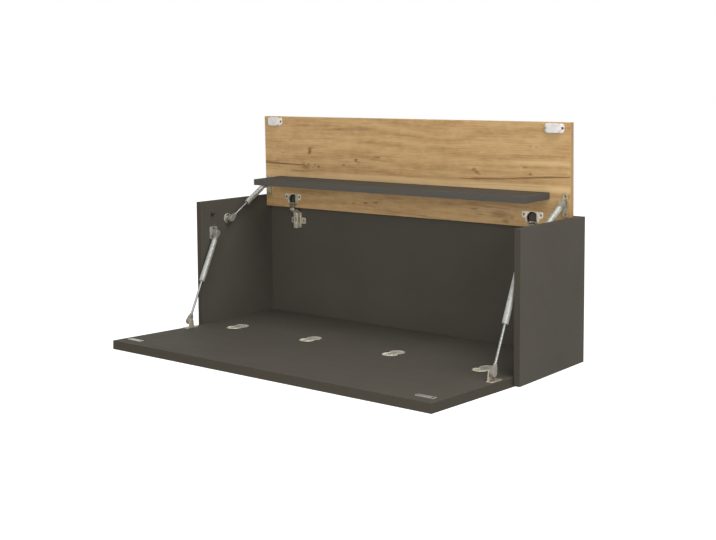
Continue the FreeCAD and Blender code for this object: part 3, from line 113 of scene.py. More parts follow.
# ---- Node graphs ----
@dataclass
class Graph:
    """The node tree of a material or a world, with short ways to add and join nodes."""

    owner: Material | bpy.types.World
    output: Node = field(init=False)
    shader: Node = field(init=False)

    def __post_init__(self) -> None:
        """Start the tree with a shader on its output."""
        self.owner.use_nodes = True
        self.owner.node_tree.nodes.clear()
        is_world = isinstance(self.owner, bpy.types.World)
        self.output = self.add("OutputWorld" if is_world else "OutputMaterial")
        self.shader = self.add("Background" if is_world else "BsdfPrincipled")
        self.join(self.shader.outputs[0], self.output.inputs["Surface"])

    def add(self, kind: str, **settings: object) -> Node:
        """Add a shader node.

        Args:
            kind: The node's type without its common first part.
            settings: Properties of the node.

        Returns:
            The new node.
        """
        node = self.owner.node_tree.nodes.new(f"ShaderNode{kind}")
        for name, value in settings.items():
            setattr(node, name, value)
        return node

    def join(self, source: Socket, target: Socket) -> None:
        """Link an output to an input."""
        self.owner.node_tree.links.new(source, target)

    def feed(self, target: Socket, value: object) -> None:
        """Link an output to an input, or set the input to a plain value.

        Args:
            target: The input.
            value: The output or the value.
        """
        if isinstance(value, Socket):
            self.join(value, target)
        else:
            target.default_value = value

    def place(self, scale: Triple = (1.0, 1.0, 1.0)) -> Socket:
        """Object coordinates in metres, stretched along the three axes.

        Args:
            scale: Factors along the axes.

        Returns:
            The stretched vector.
        """
        coords = self.add("TexCoord")
        mapping = self.add("Mapping")
        self.join(coords.outputs["Object"], mapping.inputs["Vector"])
        mapping.inputs["Scale"].default_value = scale
        return mapping.outputs["Vector"]

    def split(self, kind: str) -> Node:
        """Take a place or a normal apart.

        Args:
            kind: Object or Normal.

        Returns:
            A node with X, Y and Z as its outputs.
        """
        parts = self.add("SeparateXYZ")
        self.join(self.add("TexCoord").outputs[kind], parts.inputs["Vector"])
        return parts

    def noise(self, vector: Socket, scale: float, detail: float = 2.0, roughness: float = 0.5,
              distortion: float = 0.0) -> Socket:
        """Noise between 0 and 1.

        Args:
            vector: Where it is read.
            scale: Cells per unit of the vector.
            detail: Octaves.
            roughness: How strong the finer octaves are.
            distortion: How far it is swirled.

        Returns:
            The value.
        """
        node = self.add("TexNoise")
        self.join(vector, node.inputs["Vector"])
        for name, value in (("Scale", scale), ("Detail", detail), ("Roughness", roughness),
                            ("Distortion", distortion)):
            node.inputs[name].default_value = value
        return node.outputs["Fac"]

    def maths(self, operation: str, first: object, second: object = 0.0, third: object = 0.0) -> Socket:
        """A sum on one, two or three numbers.

        Args:
            operation: Name of the operation.
            first: First number or output.
            second: Second number or output.
            third: Third number or output.

        Returns:
            The result.
        """
        node = self.add("Math", operation=operation)
        for target, value in zip(node.inputs, (first, second, third)):
            self.feed(target, value)
        return node.outputs["Value"]

    def weighted(self, first: Socket, share: float, second: Socket, other_share: float) -> Socket:
        """The sum of two numbers, each times a factor of its own."""
        return self.maths("ADD", self.maths("MULTIPLY", first, share),
                          self.maths("MULTIPLY", second, other_share))

    def spread(self, value: Socket, low: float, high: float, to_low: float = 0.0, to_high: float = 1.0,
               smooth: bool = False) -> Socket:
        """Map one range of numbers on another and hold the ends.

        Args:
            value: The number to map.
            low: Where the range starts.
            high: Where it ends.
            to_low: Result at the start.
            to_high: Result at the end.
            smooth: Whether the ends are eased.

        Returns:
            The mapped number.
        """
        node = self.add("MapRange", interpolation_type="SMOOTHSTEP" if smooth else "LINEAR")
        self.feed(node.inputs["Value"], value)
        for name, number in (("From Min", low), ("From Max", high),
                             ("To Min", to_low), ("To Max", to_high)):
            node.inputs[name].default_value = number
        return node.outputs["Result"]

    def ramp(self, value: Socket, stops: Sequence[tuple[float, Colour]]) -> Socket:
        """Colours along a number.

        Args:
            value: The number.
            stops: Places between 0 and 1 and their colours.

        Returns:
            The colour.
        """
        node = self.add("ValToRGB")
        band = node.color_ramp
        while len(band.elements) < len(stops):
            band.elements.new(1.0)
        for element, (place, colour) in zip(band.elements, stops):
            element.position = place
            element.color = (*colour, 1.0)
        self.join(value, node.inputs["Fac"])
        return node.outputs["Color"]

    def blend(self, noise: Socket, first: Colour, second: Colour, span: Pair = NOISE_SPAN) -> Socket:
        """Go from one colour to another between two values of a noise."""
        return self.ramp(noise, ((span[0], first), (span[1], second)))

    def mix(self, amount: Socket, first: Socket, second: Socket | Colour, numbers: bool = False) -> Socket:
        """Mix two colours, or two numbers.

        Args:
            amount: Share of the second one.
            first: First colour or number.
            second: Second one; a colour may be given by its channels.
            numbers: Whether they are numbers.

        Returns:
            The mixed colour or number.
        """
        node = self.add("Mix", data_type="FLOAT" if numbers else "RGBA")
        at, result = (2, 0) if numbers else (6, 2)
        self.join(amount, node.inputs[0])
        self.join(first, node.inputs[at])
        self.feed(node.inputs[at + 1], (*second, 1.0) if isinstance(second, tuple) else second)
        return node.outputs[result]

    def seen_directly(self) -> Socket:
        """Tell rays that look, also by mirror or through glass, from those that gather light.

        Returns:
            1 for the former and 0 for the latter.
        """
        rays = self.add("LightPath").outputs
        seen = self.maths("MAXIMUM", rays["Is Camera Ray"], rays["Is Glossy Ray"])
        return self.maths("MAXIMUM", seen, rays["Is Transmission Ray"])

    def raise_surface(self, height: Socket, strength: float, distance: float) -> None:
        """Bump the surface by a height between 0 and 1.

        Args:
            height: The height.
            strength: Share of the full effect.
            distance: Height of the bumps in metres.
        """
        node = self.add("Bump")
        node.inputs["Strength"].default_value = strength
        node.inputs["Distance"].default_value = distance
        self.join(height, node.inputs["Height"])
        self.join(node.outputs["Normal"], self.shader.inputs["Normal"])

    def colour(self, value: Socket) -> None:
        """Give the shader its colour."""
        self.join(value, self.shader.inputs["Base Color"])

    def roughness(self, value: Socket) -> None:
        """Give the shader its roughness."""
        self.join(value, self.shader.inputs["Roughness"])

    def settle(self, **numbers: float) -> None:
        """Set plain numbers on the shader's own inputs; underscores stand for spaces."""
        for name, number in numbers.items():
            self.shader.inputs[name.replace("_", " ")].default_value = number


# ---- Finishes ----
class Axis(Enum):
    """Which way the wide faces of a board look."""

    X = "X"
    Y = "Y"
    Z = "Z"


@dataclass(frozen=True)
class DarkBoard:
    """Graphite melamine with a fine pearl, faint wiping marks and edge bands of another tone."""

    faces: Axis
    name: str
    deep: Colour = (0.072, 0.065, 0.052)
    pale: Colour = (0.094, 0.086, 0.071)
    band: Colour = (0.060, 0.053, 0.040)
    pearl_per_metre: float = 1400.0
    clouds_per_metre: float = 7.0
    wiping: Triple = (2.0, 9.0, 9.0)
    band_depth: Pair = (0.75, 1.0)
    roughness: Pair = (0.68, 0.78)

    def material(self) -> Material:
        """Make the finish.

        Returns:
            The material.
        """
        graph = Graph(bpy.data.materials.new(f"graphite_melamine_{self.name}"))
        coords = graph.place()
        pearl = graph.noise(coords, self.pearl_per_metre, detail=3.0, roughness=0.65)
        cloud = graph.noise(coords, self.clouds_per_metre, detail=3.0, roughness=0.55)
        wiped = graph.noise(graph.place(self.wiping), 3.0, detail=4.0, roughness=0.6, distortion=0.4)
        colour = graph.blend(graph.weighted(pearl, 0.7, cloud, 0.3), self.deep, self.pale)
        banded = graph.mix(graph.spread(pearl, *NOISE_SPAN, *self.band_depth), colour, self.band)
        graph.colour(graph.mix(self.on_band(graph), colour, banded))
        graph.roughness(graph.spread(wiped, *NOISE_SPAN, *self.roughness))
        graph.raise_surface(pearl, strength=0.12, distance=0.0002)
        graph.settle(Specular_IOR_Level=0.08)
        return graph.owner

    def on_band(self, graph: Graph) -> Socket:
        """1 on the edge bands and 0 on the wide faces."""
        facing = graph.split("Normal").outputs[self.faces.value]
        return graph.maths("LESS_THAN", graph.maths("ABSOLUTE", facing), FACING)


@dataclass(frozen=True)
class Knot:
    """A dark fleck in the grain: its place on the board, its reach and how dark it is."""

    x: float
    z: float
    wide: float
    high: float
    depth: float


@dataclass(frozen=True)
class Crack:
    """A line along the grain from start to end at a level, with its slope and half width.

    It fades out sideways, and towards its ends from a share of its half length on.
    """

    start: float
    end: float
    level: float
    slope: float
    half_width: float
    depth: float
    full: float = 0.6

    def share(self, graph: Graph, along: Socket, height: Socket) -> Socket:
        """How strong the line is at a place.

        Args:
            graph: The nodes.
            along: Distance along the grain.
            height: Height above the board's lower edge.

        Returns:
            The strength between 0 and 1.
        """
        middle = graph.maths("MULTIPLY_ADD", along, self.slope, self.level - self.start * self.slope)
        off = graph.maths("ABSOLUTE", graph.maths("SUBTRACT", height, middle))
        line = graph.spread(off, 0.0, self.half_width * 2.0, self.depth, 0.0, True)
        half = (self.end - self.start) / 2
        reach = graph.maths("ABSOLUTE", graph.maths("SUBTRACT", along, self.start + half))
        return graph.maths("MULTIPLY", line, graph.spread(reach, half * self.full, half, 1.0, 0.0, True))


@dataclass(frozen=True)
class Grain:
    """Noise drawn out along the grain: its cells per metre, octaves, swirl and share in the tone."""

    along: float
    across: float
    detail: float
    roughness: float
    swirl: float = 0.0
    share: float = 0.0

    def read(self, graph: Graph, along: Socket, across: Socket) -> Socket:
        """The noise at a place in the plane of the board.

        Args:
            graph: The nodes.
            along: Distance along the grain.
            across: Distance across it.

        Returns:
            The value between 0 and 1.
        """
        vector = graph.add("CombineXYZ")
        graph.join(graph.maths("MULTIPLY", along, self.along), vector.inputs["X"])
        graph.join(graph.maths("MULTIPLY", across, self.across), vector.inputs["Y"])
        return graph.noise(vector.outputs["Vector"], 1.0, self.detail, self.roughness, self.swirl)


@dataclass(frozen=True)
class OakBoard:
    """Golden oak melamine: flowing grain, fine pores, knots, dark heart lines, and pale bands that are pale
    grain and, just above the shelf, also painted light.
    """

    pale: Colour = (0.535, 0.346, 0.155)
    golden: Colour = (0.440, 0.267, 0.108)
    brown: Colour = (0.310, 0.158, 0.053)
    dark: Colour = (0.165, 0.074, 0.026)
    knots: tuple[Knot, ...] = (
        Knot(-0.317, 0.161, 0.007, 0.012, 0.9), Knot(-0.315, 0.168, 0.008, 0.005, 0.6),
        Knot(-0.318, 0.154, 0.007, 0.005, 0.7), Knot(-0.34, 0.126, 0.009, 0.003, 0.6),
        Knot(-0.328, 0.113, 0.011, 0.0022, 0.5), Knot(-0.306, 0.119, 0.006, 0.0024, 0.5),
        Knot(-0.287, 0.121, 0.006, 0.0045, 0.95), Knot(-0.299, 0.124, 0.007, 0.003, 0.61),
        Knot(-0.332, 0.119, 0.016, 0.003, 0.68), Knot(-0.323, 0.125, 0.009, 0.0026, 0.61),
        Knot(-0.35, 0.123, 0.008, 0.0022, 0.61), Knot(-0.1985, 0.128, 0.0075, 0.0038, 0.84),
        Knot(-0.156, 0.1405, 0.007, 0.005, 0.95), Knot(-0.148, 0.137, 0.009, 0.0026, 0.61),
        Knot(-0.168, 0.0275, 0.008, 0.0024, 0.61), Knot(-0.126, 0.03, 0.007, 0.0032, 0.84),
        Knot(-0.084, 0.15, 0.014, 0.0024, 0.68), Knot(-0.092, 0.033, 0.01, 0.0032, 0.68),
        Knot(-0.416, 0.155, 0.008, 0.0018, 0.61), Knot(-0.387, 0.19, 0.005, 0.0022, 0.47),
        Knot(0.216, 0.134, 0.008, 0.005, 0.68), Knot(0.224, 0.128, 0.008, 0.0044, 0.81),
        Knot(0.231, 0.123, 0.006, 0.003, 0.61), Knot(0.359, 0.143, 0.0085, 0.003, 0.57),
        Knot(0.375, 0.129, 0.006, 0.0048, 0.68), Knot(0.35, 0.149, 0.007, 0.0022, 0.43),
        Knot(0.376, 0.195, 0.005, 0.004, 0.35), Knot(0.392, 0.193, 0.006, 0.0046, 0.32),
        Knot(0.29, 0.028, 0.03, 0.011, 0.46), Knot(0.306, 0.012, 0.012, 0.005, 0.57),
        Knot(0.256, 0.043, 0.018, 0.003, 0.54), Knot(0.215, 0.036, 0.012, 0.0022, 0.61),
        Knot(0.232, 0.023, 0.013, 0.0022, 0.61), Knot(0.324, 0.023, 0.008, 0.008, 0.41),
    )
    cracks: tuple[Crack, ...] = (
        Crack(-0.56, -0.3, 0.1255, -0.012, 0.0014, 0.95), Crack(-0.39, -0.33, 0.106, 0.01, 0.0012, 0.6),
        Crack(0.13, 0.6, 0.1068, 0.056, 0.0013, 0.88), Crack(0.205, 0.3, 0.113, 0.03, 0.002, 0.6),
        Crack(0.17, 0.24, 0.109, 0.01, 0.001, 0.5), Crack(-0.29, -0.08, 0.219, 0.03, 0.003, 0.26),
        Crack(0.31, 0.385, 0.172, -0.03, 0.001, 0.34), Crack(0.32, 0.36, 0.166, -0.02, 0.0009, 0.3),
        Crack(-0.11, 0.23, 0.017, -0.04, 0.0016, 0.35), Crack(0.18, 0.33, 0.048, -0.05, 0.0014, 0.38),
        Crack(-0.48, -0.2, 0.192, 0.012, 0.0012, 0.22), Crack(0.15, 0.46, 0.096, 0.01, 0.001, 0.3),
    )
    # Colour of the pale bands. The first three, just above the shelf, are a pale band of grain that is also
    # painted light; the other three are pale streaks of grain.
    pale_grain_and_light: Colour = (0.760, 0.540, 0.275)
    pale_bands: tuple[Crack, ...] = (
        Crack(-0.56, 0.56, 0.093, 0.0, 0.0075, 0.5), Crack(-0.33, 0.56, 0.101, 0.0, 0.004, 0.35),
        Crack(0.15, 0.56, 0.093, 0.01, 0.006, 0.45), Crack(0.3, 0.56, 0.156, 0.0, 0.005, 0.35),
        Crack(-0.35, -0.13, 0.185, 0.0, 0.01, 0.25), Crack(0.15, 0.56, 0.137, 0.0, 0.004, 0.25),
    )
    flow: Grain = Grain(1.6, 7.0, 2.0, 0.45)
    streaks: Grain = Grain(2.2, 60.0, 4.0, 0.62, 0.7, 0.15)
    lines: Grain = Grain(11.0, 260.0, 3.0, 0.65, 0.8, 0.33)
    fine: Grain = Grain(22.0, 560.0, 3.0, 0.65, 0.3, 0.26)
    mottle: Grain = Grain(34.0, 52.0, 3.0, 0.6, 0.3, 0.22)
    pores: Grain = Grain(26.0, 1500.0, 2.0, 0.5)
    rings_per_metre: float = 26.0
    ring_bend: float = 5.5
    ring_share: float = 0.10
    tones: Triple = (0.35, 0.49, 0.60)
    pore_span: Pair = (0.60, 0.72)
    pore_depth: float = 0.35
    pore_relief: float = 1.5
    roughness: Pair = (0.50, 0.40)
    end_shade: float = 0.50
    end_shift: Pair = (3.0, 0.7)
    depth_share: float = 0.8
    lower_edge: float = -0.0165
    sway: float = 0.018
    fray_middle: float = 0.46
    fray: float = 3.4
    knot_reach: float = 1.5

    def material(self) -> Material:
        """Make the finish.

        Returns:
            The material.
        """
        graph = Graph(bpy.data.materials.new("golden_oak_melamine"))
        along, across, on_end = self.grain_plane(graph)
        flow = self.flow.read(graph, along, across)
        rings = graph.weighted(across, self.rings_per_metre, flow, self.ring_bend)
        rings = graph.maths("MULTIPLY", graph.maths("PINGPONG", rings, 0.5), 2.0)
        layers = (self.streaks, self.lines, self.fine, self.mottle)
        streaks, lines, fine, mottle = (layer.read(graph, along, across) for layer in layers)
        tone = graph.maths("MULTIPLY", rings, self.ring_share)
        for part, layer in zip((streaks, lines, fine, mottle), layers):
            tone = graph.maths("MULTIPLY_ADD", part, layer.share, tone)
        colour = graph.ramp(tone, tuple(zip(self.tones, (self.brown, self.golden, self.pale))))
        pores = graph.spread(self.pores.read(graph, along, across), *self.pore_span, 0.0, self.pore_depth)
        colour = graph.mix(pores, colour, self.brown)
        level = graph.maths("SUBTRACT", across, self.lower_edge)
        sway = graph.maths("MULTIPLY", graph.maths("SUBTRACT", streaks, 0.5), self.sway)
        bent = graph.maths("ADD", level, sway)
        # Pale bands: grain, and just above the shelf also painted light.
        for band in self.pale_bands:
            colour = graph.mix(band.share(graph, along, level), colour, self.pale_grain_and_light)
        colour = graph.mix(self.marks(graph, along, bent, fine), colour, self.dark)
        # The end bands are mixed halfway to brown: painted shade on both ends of the lid.
        graph.colour(graph.mix(graph.maths("MULTIPLY", on_end, self.end_shade), colour, self.brown))
        graph.roughness(graph.spread(fine, *NOISE_SPAN, *self.roughness))
        relief = graph.maths("SUBTRACT", fine, graph.maths("MULTIPLY", pores, self.pore_relief))
        graph.raise_surface(relief, strength=0.22, distance=0.0003)
        graph.settle(Specular_IOR_Level=0.40)
        return graph.owner

    def grain_plane(self, graph: Graph) -> tuple[Socket, Socket, Socket]:
        """Distances along and across the grain; the end bands have upright grain.

        Args:
            graph: The nodes.

        Returns:
            The two distances in metres, and 1 on the end bands.
        """
        facing = graph.split("Normal").outputs["X"]
        on_end = graph.maths("GREATER_THAN", graph.maths("ABSOLUTE", facing), FACING)
        here = graph.split("Object")
        x, y, z = (here.outputs[axis] for axis in "XYZ")
        height = graph.maths("ADD", z, graph.maths("MULTIPLY", y, self.depth_share))
        along = graph.mix(on_end, x, graph.maths("ADD", z, self.end_shift[0]), numbers=True)
        across = graph.mix(on_end, height, graph.maths("ADD", y, self.end_shift[1]), numbers=True)
        return along, across, on_end

    def marks(self, graph: Graph, along: Socket, bent: Socket, fray: Socket) -> Socket:
        """How dark the knots and heart lines are at a place.

        Args:
            graph: The nodes.
            along: Distance along the grain.
            bent: Height above the lower edge, bent by the streaks.
            fray: Fine noise that frays the knots' outlines.

        Returns:
            The darkness between 0 and 1.
        """
        total = None
        frayed = graph.maths("MULTIPLY", graph.maths("SUBTRACT", fray, self.fray_middle), self.fray)
        for knot in self.knots:
            dx = graph.maths("DIVIDE", graph.maths("SUBTRACT", along, knot.x), knot.wide)
            dz = graph.maths("DIVIDE", graph.maths("SUBTRACT", bent, knot.z), knot.high)
            far = graph.maths("ADD", graph.maths("MULTIPLY", dx, dx), graph.maths("MULTIPLY", dz, dz))
            far = graph.maths("ADD", far, frayed)
            dark = graph.spread(far, 0.0, self.knot_reach, knot.depth, 0.0, True)
            total = dark if total is None else graph.maths("MAXIMUM", total, dark)
        for crack in self.cracks:
            total = graph.maths("MAXIMUM", total, crack.share(graph, along, bent))
        return total


@dataclass(frozen=True)
class PaintedShade:
    """A soft-edged box of painted shade that darkens a fitting, from its lowest to its highest corner."""

    low: Triple
    high: Triple
    colour: Colour
    edge: float = 0.0008

    def pair(self) -> tuple["PaintedShade", "PaintedShade"]:
        """The box of painted shade mirrored to the other side of the desk's middle, and the box itself."""
        low, high = (-self.high[0], *self.low[1:]), (-self.low[0], *self.high[1:])
        return replace(self, low=low, high=high), self

    def share(self, graph: Graph) -> Socket:
        """How strong the painted shade is at a place.

        Args:
            graph: The nodes.

        Returns:
            The strength between 0 and 1.
        """
        here = graph.split("Object")
        total = None
        for axis, low, high in zip("XYZ", self.low, self.high):
            place, edge = here.outputs[axis], self.edge
            above = graph.spread(place, low - edge, low + edge, 0.0, 1.0, True)
            below = graph.spread(place, high - edge, high + edge, 1.0, 0.0, True)
            inside = graph.maths("MULTIPLY", above, below)
            total = inside if total is None else graph.maths("MULTIPLY", total, inside)
        return total


def shaded(colour: Colour, share: float) -> Colour:
    """A colour with every channel times a share."""
    return tuple(channel * share for channel in colour)


@dataclass(frozen=True)
class Metal:
    """Plated or polished steel with fine scratches, boxes of painted shade and a sheen that goes from low
    to high.
    """

    name: str
    colour: Colour
    low: float
    high: float
    scratch: float
    metallic: float
    painted_shades: tuple[PaintedShade, ...] = ()
    shade: float = 0.68
    shade_span: Pair = (0.34, 0.60)
    clouds_per_metre: float = 160.0
    grit_per_metre: float = 2600.0
    lines_per_metre: float = 500.0
    line_shape: Triple = (1.0, 1.0, 14.0)

    def material(self) -> Material:
        """Make the finish.

        Returns:
            The material.
        """
        graph = Graph(bpy.data.materials.new(self.name))
        coords = graph.place()
        cloud = graph.noise(coords, self.clouds_per_metre, detail=4.0, roughness=0.6)
        grit = graph.noise(coords, self.grit_per_metre, roughness=0.6)
        lines = graph.noise(graph.place(self.line_shape), self.lines_per_metre)
        colour = graph.blend(cloud, shaded(self.colour, self.shade), self.colour, self.shade_span)
        # Each box mixes a colour of painted shade into the plating.
        for shade_patch in self.painted_shades:
            colour = graph.mix(shade_patch.share(graph), colour, shade_patch.colour)
        graph.colour(colour)
        wear = graph.weighted(cloud, 0.6, lines, 0.4)
        graph.roughness(graph.spread(wear, *NOISE_SPAN, self.low, self.high))
        graph.raise_surface(grit, strength=self.scratch, distance=0.0001)
        graph.settle(Metallic=self.metallic)
        return graph.owner


@dataclass(frozen=True)
class Plastic:
    """Moulded plastic with a fine skin and faint flow clouds."""

    name: str
    colour: Colour
    low: float = 0.35
    high: float = 0.5
    soft: float = 0.0
    shade: float = 0.82
    shade_span: Pair = (0.30, 0.65)
    clouds_per_metre: float = 60.0
    skin_per_metre: float = 3000.0

    def material(self) -> Material:
        """Make the finish.

        Returns:
            The material.
        """
        graph = Graph(bpy.data.materials.new(self.name))
        coords = graph.place()
        cloud = graph.noise(coords, self.clouds_per_metre, detail=3.0)
        skin = graph.noise(coords, self.skin_per_metre)
        graph.colour(graph.blend(cloud, shaded(self.colour, self.shade), self.colour, self.shade_span))
        graph.roughness(graph.spread(cloud, *NOISE_SPAN, self.low, self.high))
        graph.raise_surface(skin, strength=0.15, distance=0.0001)
        graph.settle(Subsurface_Weight=self.soft, Subsurface_Scale=0.002)
        return graph.owner


@dataclass(frozen=True)
class Beech:
    """Plain fine-grained beech of the dowels."""

    pale: Colour = (0.62, 0.43, 0.26)
    dark: Colour = (0.45, 0.28, 0.15)
    fibres_per_metre: Triple = (20.0, 400.0, 400.0)

    def material(self) -> Material:
        """Make the finish.

        Returns:
            The material.
        """
        graph = Graph(bpy.data.materials.new("turned_beech"))
        fibre = graph.noise(graph.place(self.fibres_per_metre), 1.0, detail=3.0, roughness=0.6)
        graph.colour(graph.blend(fibre, self.dark, self.pale))
        graph.roughness(graph.spread(fibre, *NOISE_SPAN, 0.65, 0.5))
        graph.raise_surface(fibre, strength=0.2, distance=0.0002)
        return graph.owner


def hinge_painted_shades() -> tuple[PaintedShade, ...]:
    """List the painted shade on the lid hinges: in the cups, on the fronts of the arms and inside the arms.

    Returns:
        The boxes of painted shade in pairs, the left one first.
    """
    # All three colours are painted shade: the darkest in the hinge cups, the brown one on the fronts of the
    # arms, the last inside the hollow arms.
    deep, painted, hollow = (0.040, 0.030, 0.021), (0.200, 0.150, 0.105), (0.060, 0.048, 0.034)
    return (
        PaintedShade((-0.4, -0.035, 0.03), (-0.384, 0.0, 0.06), deep),
        PaintedShade((0.361, -0.035, 0.03), (0.385, 0.0, 0.06), deep),
        *PaintedShade((0.365, -0.08, 0.0165), (0.397, -0.04, 0.0345), painted).pair(),
        *PaintedShade((0.3754, -0.0287, -0.04), (0.3866, -0.0188, -0.006), hollow, 0.0003).pair(),
    )


def finishes() -> dict[Slot, Material]:
    """Make every finish once.

    Returns:
        The materials by the record's slot.
    """
    looks = {
        Slot.DARK_BOARD: DarkBoard(Axis.Z, "level"),
        Slot.OAK_BOARD: OakBoard(),
        Slot.ZINC: Metal("zinc_plate", (0.50, 0.48, 0.43), 0.36, 0.52, 0.05, 0.60),
        Slot.NICKEL: Metal("nickel_plate", (0.74, 0.68, 0.55), 0.32, 0.48, 0.05, 0.50, hinge_painted_shades()),
        Slot.TUBE: Metal("silver_enamel", (0.44, 0.44, 0.41), 0.34, 0.46, 0.03, 0.30),
        Slot.ROD: Metal("hard_chrome", (0.34, 0.34, 0.33), 0.16, 0.28, 0.005, 0.85),
        Slot.SOCKET: Plastic("grey_nylon", (0.235, 0.221, 0.184), 0.36, 0.50, 0.05),
        Slot.BLACK: Plastic("black_plastic", (0.020, 0.020, 0.019)),
        Slot.WHITE: Plastic("white_plastic", (0.73, 0.700, 0.675), 0.36, 0.48, 0.05),
        Slot.SEAL: Plastic("seal_rubber", (0.018, 0.018, 0.018), 0.55, 0.7),
        Slot.BEECH: Beech(),
    }
    return {slot: look.material() for slot, look in looks.items()}


# ---- Stage ----
@dataclass(frozen=True)
class SoftBox:
    """A square soft lamp aimed at the desk: azimuth 0 is in front, 90 to the right, angles in degrees.

    Level is what it adds to a white surface that faces it.
    """

    name: str
    azimuth: float
    elevation: float
    distance: float
    size: float
    level: float

    def hang(self) -> None:
        """Make the lamp."""
        azimuth, elevation = math.radians(self.azimuth), math.radians(self.elevation)
        towards = Vector((math.sin(azimuth) * math.cos(elevation), -math.cos(azimuth) * math.cos(elevation),
                          math.sin(elevation)))
        deselect()
        bpy.ops.object.light_add(type="AREA", location=LIT_POINT + towards * self.distance)
        lamp = bpy.context.object
        lamp.name = self.name
        lamp.data.shape = "SQUARE"
        lamp.data.size = self.size
        lamp.data.energy = self.level * math.pi ** 2 * self.distance ** 2
        lamp.rotation_euler = (-towards).to_track_quat("-Z", "Y").to_euler()


@dataclass
class Studio:
    """A plain pale floor well below the hung desk, soft lamps and an even sky."""

    floor_level: float = -1.03
    floor_size: float = 18.0
    floor_cells: int = 8
    floor_glow: float = 0.85
    floor_dim: Colour = (0.86, 0.86, 0.86)
    floor_pale: Colour = (0.90, 0.90, 0.90)
    specks_per_metre: float = 40.0
    sky: float = 0.355
    lamps: tuple[SoftBox, ...] = (
        SoftBox("key_softbox", 55.0, 15.0, 5.0, 2.5, 0.28),
        SoftBox("front_softbox", 12.0, 6.0, 5.0, 2.5, 0.30),
        SoftBox("top_softbox", 80.0, 60.0, 2.4, 1.6, 0.70),
    )

    def build(self) -> None:
        """Make the floor, the sky and the lamps."""
        self.floor()
        self.world()
        for lamp in self.lamps:
            lamp.hang()

    def floor(self) -> None:
        """Lay the floor; what looks straight at it sees white where no shadow falls."""
        deselect()
        bpy.ops.mesh.primitive_grid_add(x_subdivisions=self.floor_cells, y_subdivisions=self.floor_cells,
                                        size=self.floor_size, location=(0.0, 0.0, self.floor_level))
        floor = bpy.context.object
        floor.name = "studio_floor"
        graph = Graph(bpy.data.materials.new("studio_floor_paint"))
        speck = graph.noise(graph.place(), self.specks_per_metre, detail=3.0)
        graph.colour(graph.blend(speck, self.floor_dim, self.floor_pale))
        graph.settle(Roughness=0.9, Specular_IOR_Level=0.1)
        floor.data.materials.append(graph.owner)
        glow = graph.add("Emission")
        glow.inputs["Color"].default_value = WHITE
        graph.join(graph.maths("MULTIPLY", graph.seen_directly(), self.floor_glow), glow.inputs["Strength"])
        add = graph.add("AddShader")
        graph.join(graph.shader.outputs["BSDF"], add.inputs[0])
        graph.join(glow.outputs["Emission"], add.inputs[1])
        graph.join(add.outputs["Shader"], graph.output.inputs["Surface"])

    def world(self) -> None:
        """An even white sky that is seen at full white and lights more gently."""
        world = bpy.data.worlds.new("studio_sky")
        bpy.context.scene.world = world
        graph = Graph(world)
        graph.shader.inputs["Color"].default_value = WHITE
        strength = graph.spread(graph.seen_directly(), 0.0, 1.0, self.sky, 1.0)
        graph.join(strength, graph.shader.inputs["Strength"])


@dataclass
class ViewPoint:
    """The camera, in front of the right half of the desk and a little above it."""

    place: Triple = (1.8201, -2.5218, 0.3751)
    yaw: float = 38.1117
    pitch: float = -5.0567
    roll: float = -0.3189
    sensor_width: float = 36.0
    focal_length: float = 60.192
    shift_x: float = -0.0098
    shift_y: float = -0.1200

    def build(self) -> None:
        """Make the camera and use it."""
        deselect()
        bpy.ops.object.camera_add(location=self.place)
        camera = bpy.context.object
        camera.name = "view_point"
        camera.data.sensor_width = self.sensor_width
        camera.data.lens = self.focal_length
        camera.data.shift_x = self.shift_x
        camera.data.shift_y = self.shift_y
        turn = Matrix.Rotation(math.radians(self.yaw), 4, "Z")
        tilt = Matrix.Rotation(math.radians(90.0 + self.pitch), 4, "X")
        roll = Matrix.Rotation(math.radians(self.roll), 4, "Z")
        camera.rotation_euler = (turn @ tilt @ roll).to_euler()
        bpy.context.scene.camera = camera


# ---- Modelling helpers ----
def deselect() -> None:
    """Leave edit mode and select nothing."""
    if bpy.context.object is not None and bpy.context.object.mode != "OBJECT":
        bpy.ops.object.mode_set(mode="OBJECT")
    bpy.ops.object.select_all(action="DESELECT")


@contextmanager
def editing() -> Iterator[None]:
    """Edit the active mesh, at first with everything selected."""
    bpy.ops.object.mode_set(mode="EDIT")
    bpy.ops.mesh.select_all(action="SELECT")
    yield
    bpy.ops.object.mode_set(mode="OBJECT")


def modify(piece: Piece, kind: str, **settings: object) -> None:
    """Put a modifier on the active piece and apply it.

    Args:
        piece: The active piece.
        kind: Type of the modifier.
        settings: Its properties.
    """
    bpy.ops.object.modifier_add(type=kind)
    modifier = piece.modifiers[-1]
    for name, value in settings.items():
        setattr(modifier, name, value)
    bpy.ops.object.modifier_apply(modifier=modifier.name)


def select_only(*pieces: Piece) -> None:
    """Leave edit mode and select these pieces only.

    Args:
        pieces: The pieces; the first one becomes the active one.
    """
    deselect()
    for piece in pieces:
        piece.select_set(True)
    bpy.context.view_layer.objects.active = pieces[0]


def remove(*pieces: Piece) -> None:
    """Delete pieces."""
    select_only(*pieces)
    bpy.ops.object.delete()


def select_underside(piece: Piece) -> None:
    """Select the faces of a piece that look down, and no others.

    Args:
        piece: The piece, in object mode before and after.
    """
    bpy.ops.object.mode_set(mode="EDIT")
    bpy.ops.mesh.select_mode(type="FACE")
    bpy.ops.mesh.select_all(action="DESELECT")
    bpy.ops.object.mode_set(mode="OBJECT")
    for face in piece.data.polygons:
        if face.normal.z < -FACING:
            face.select = True


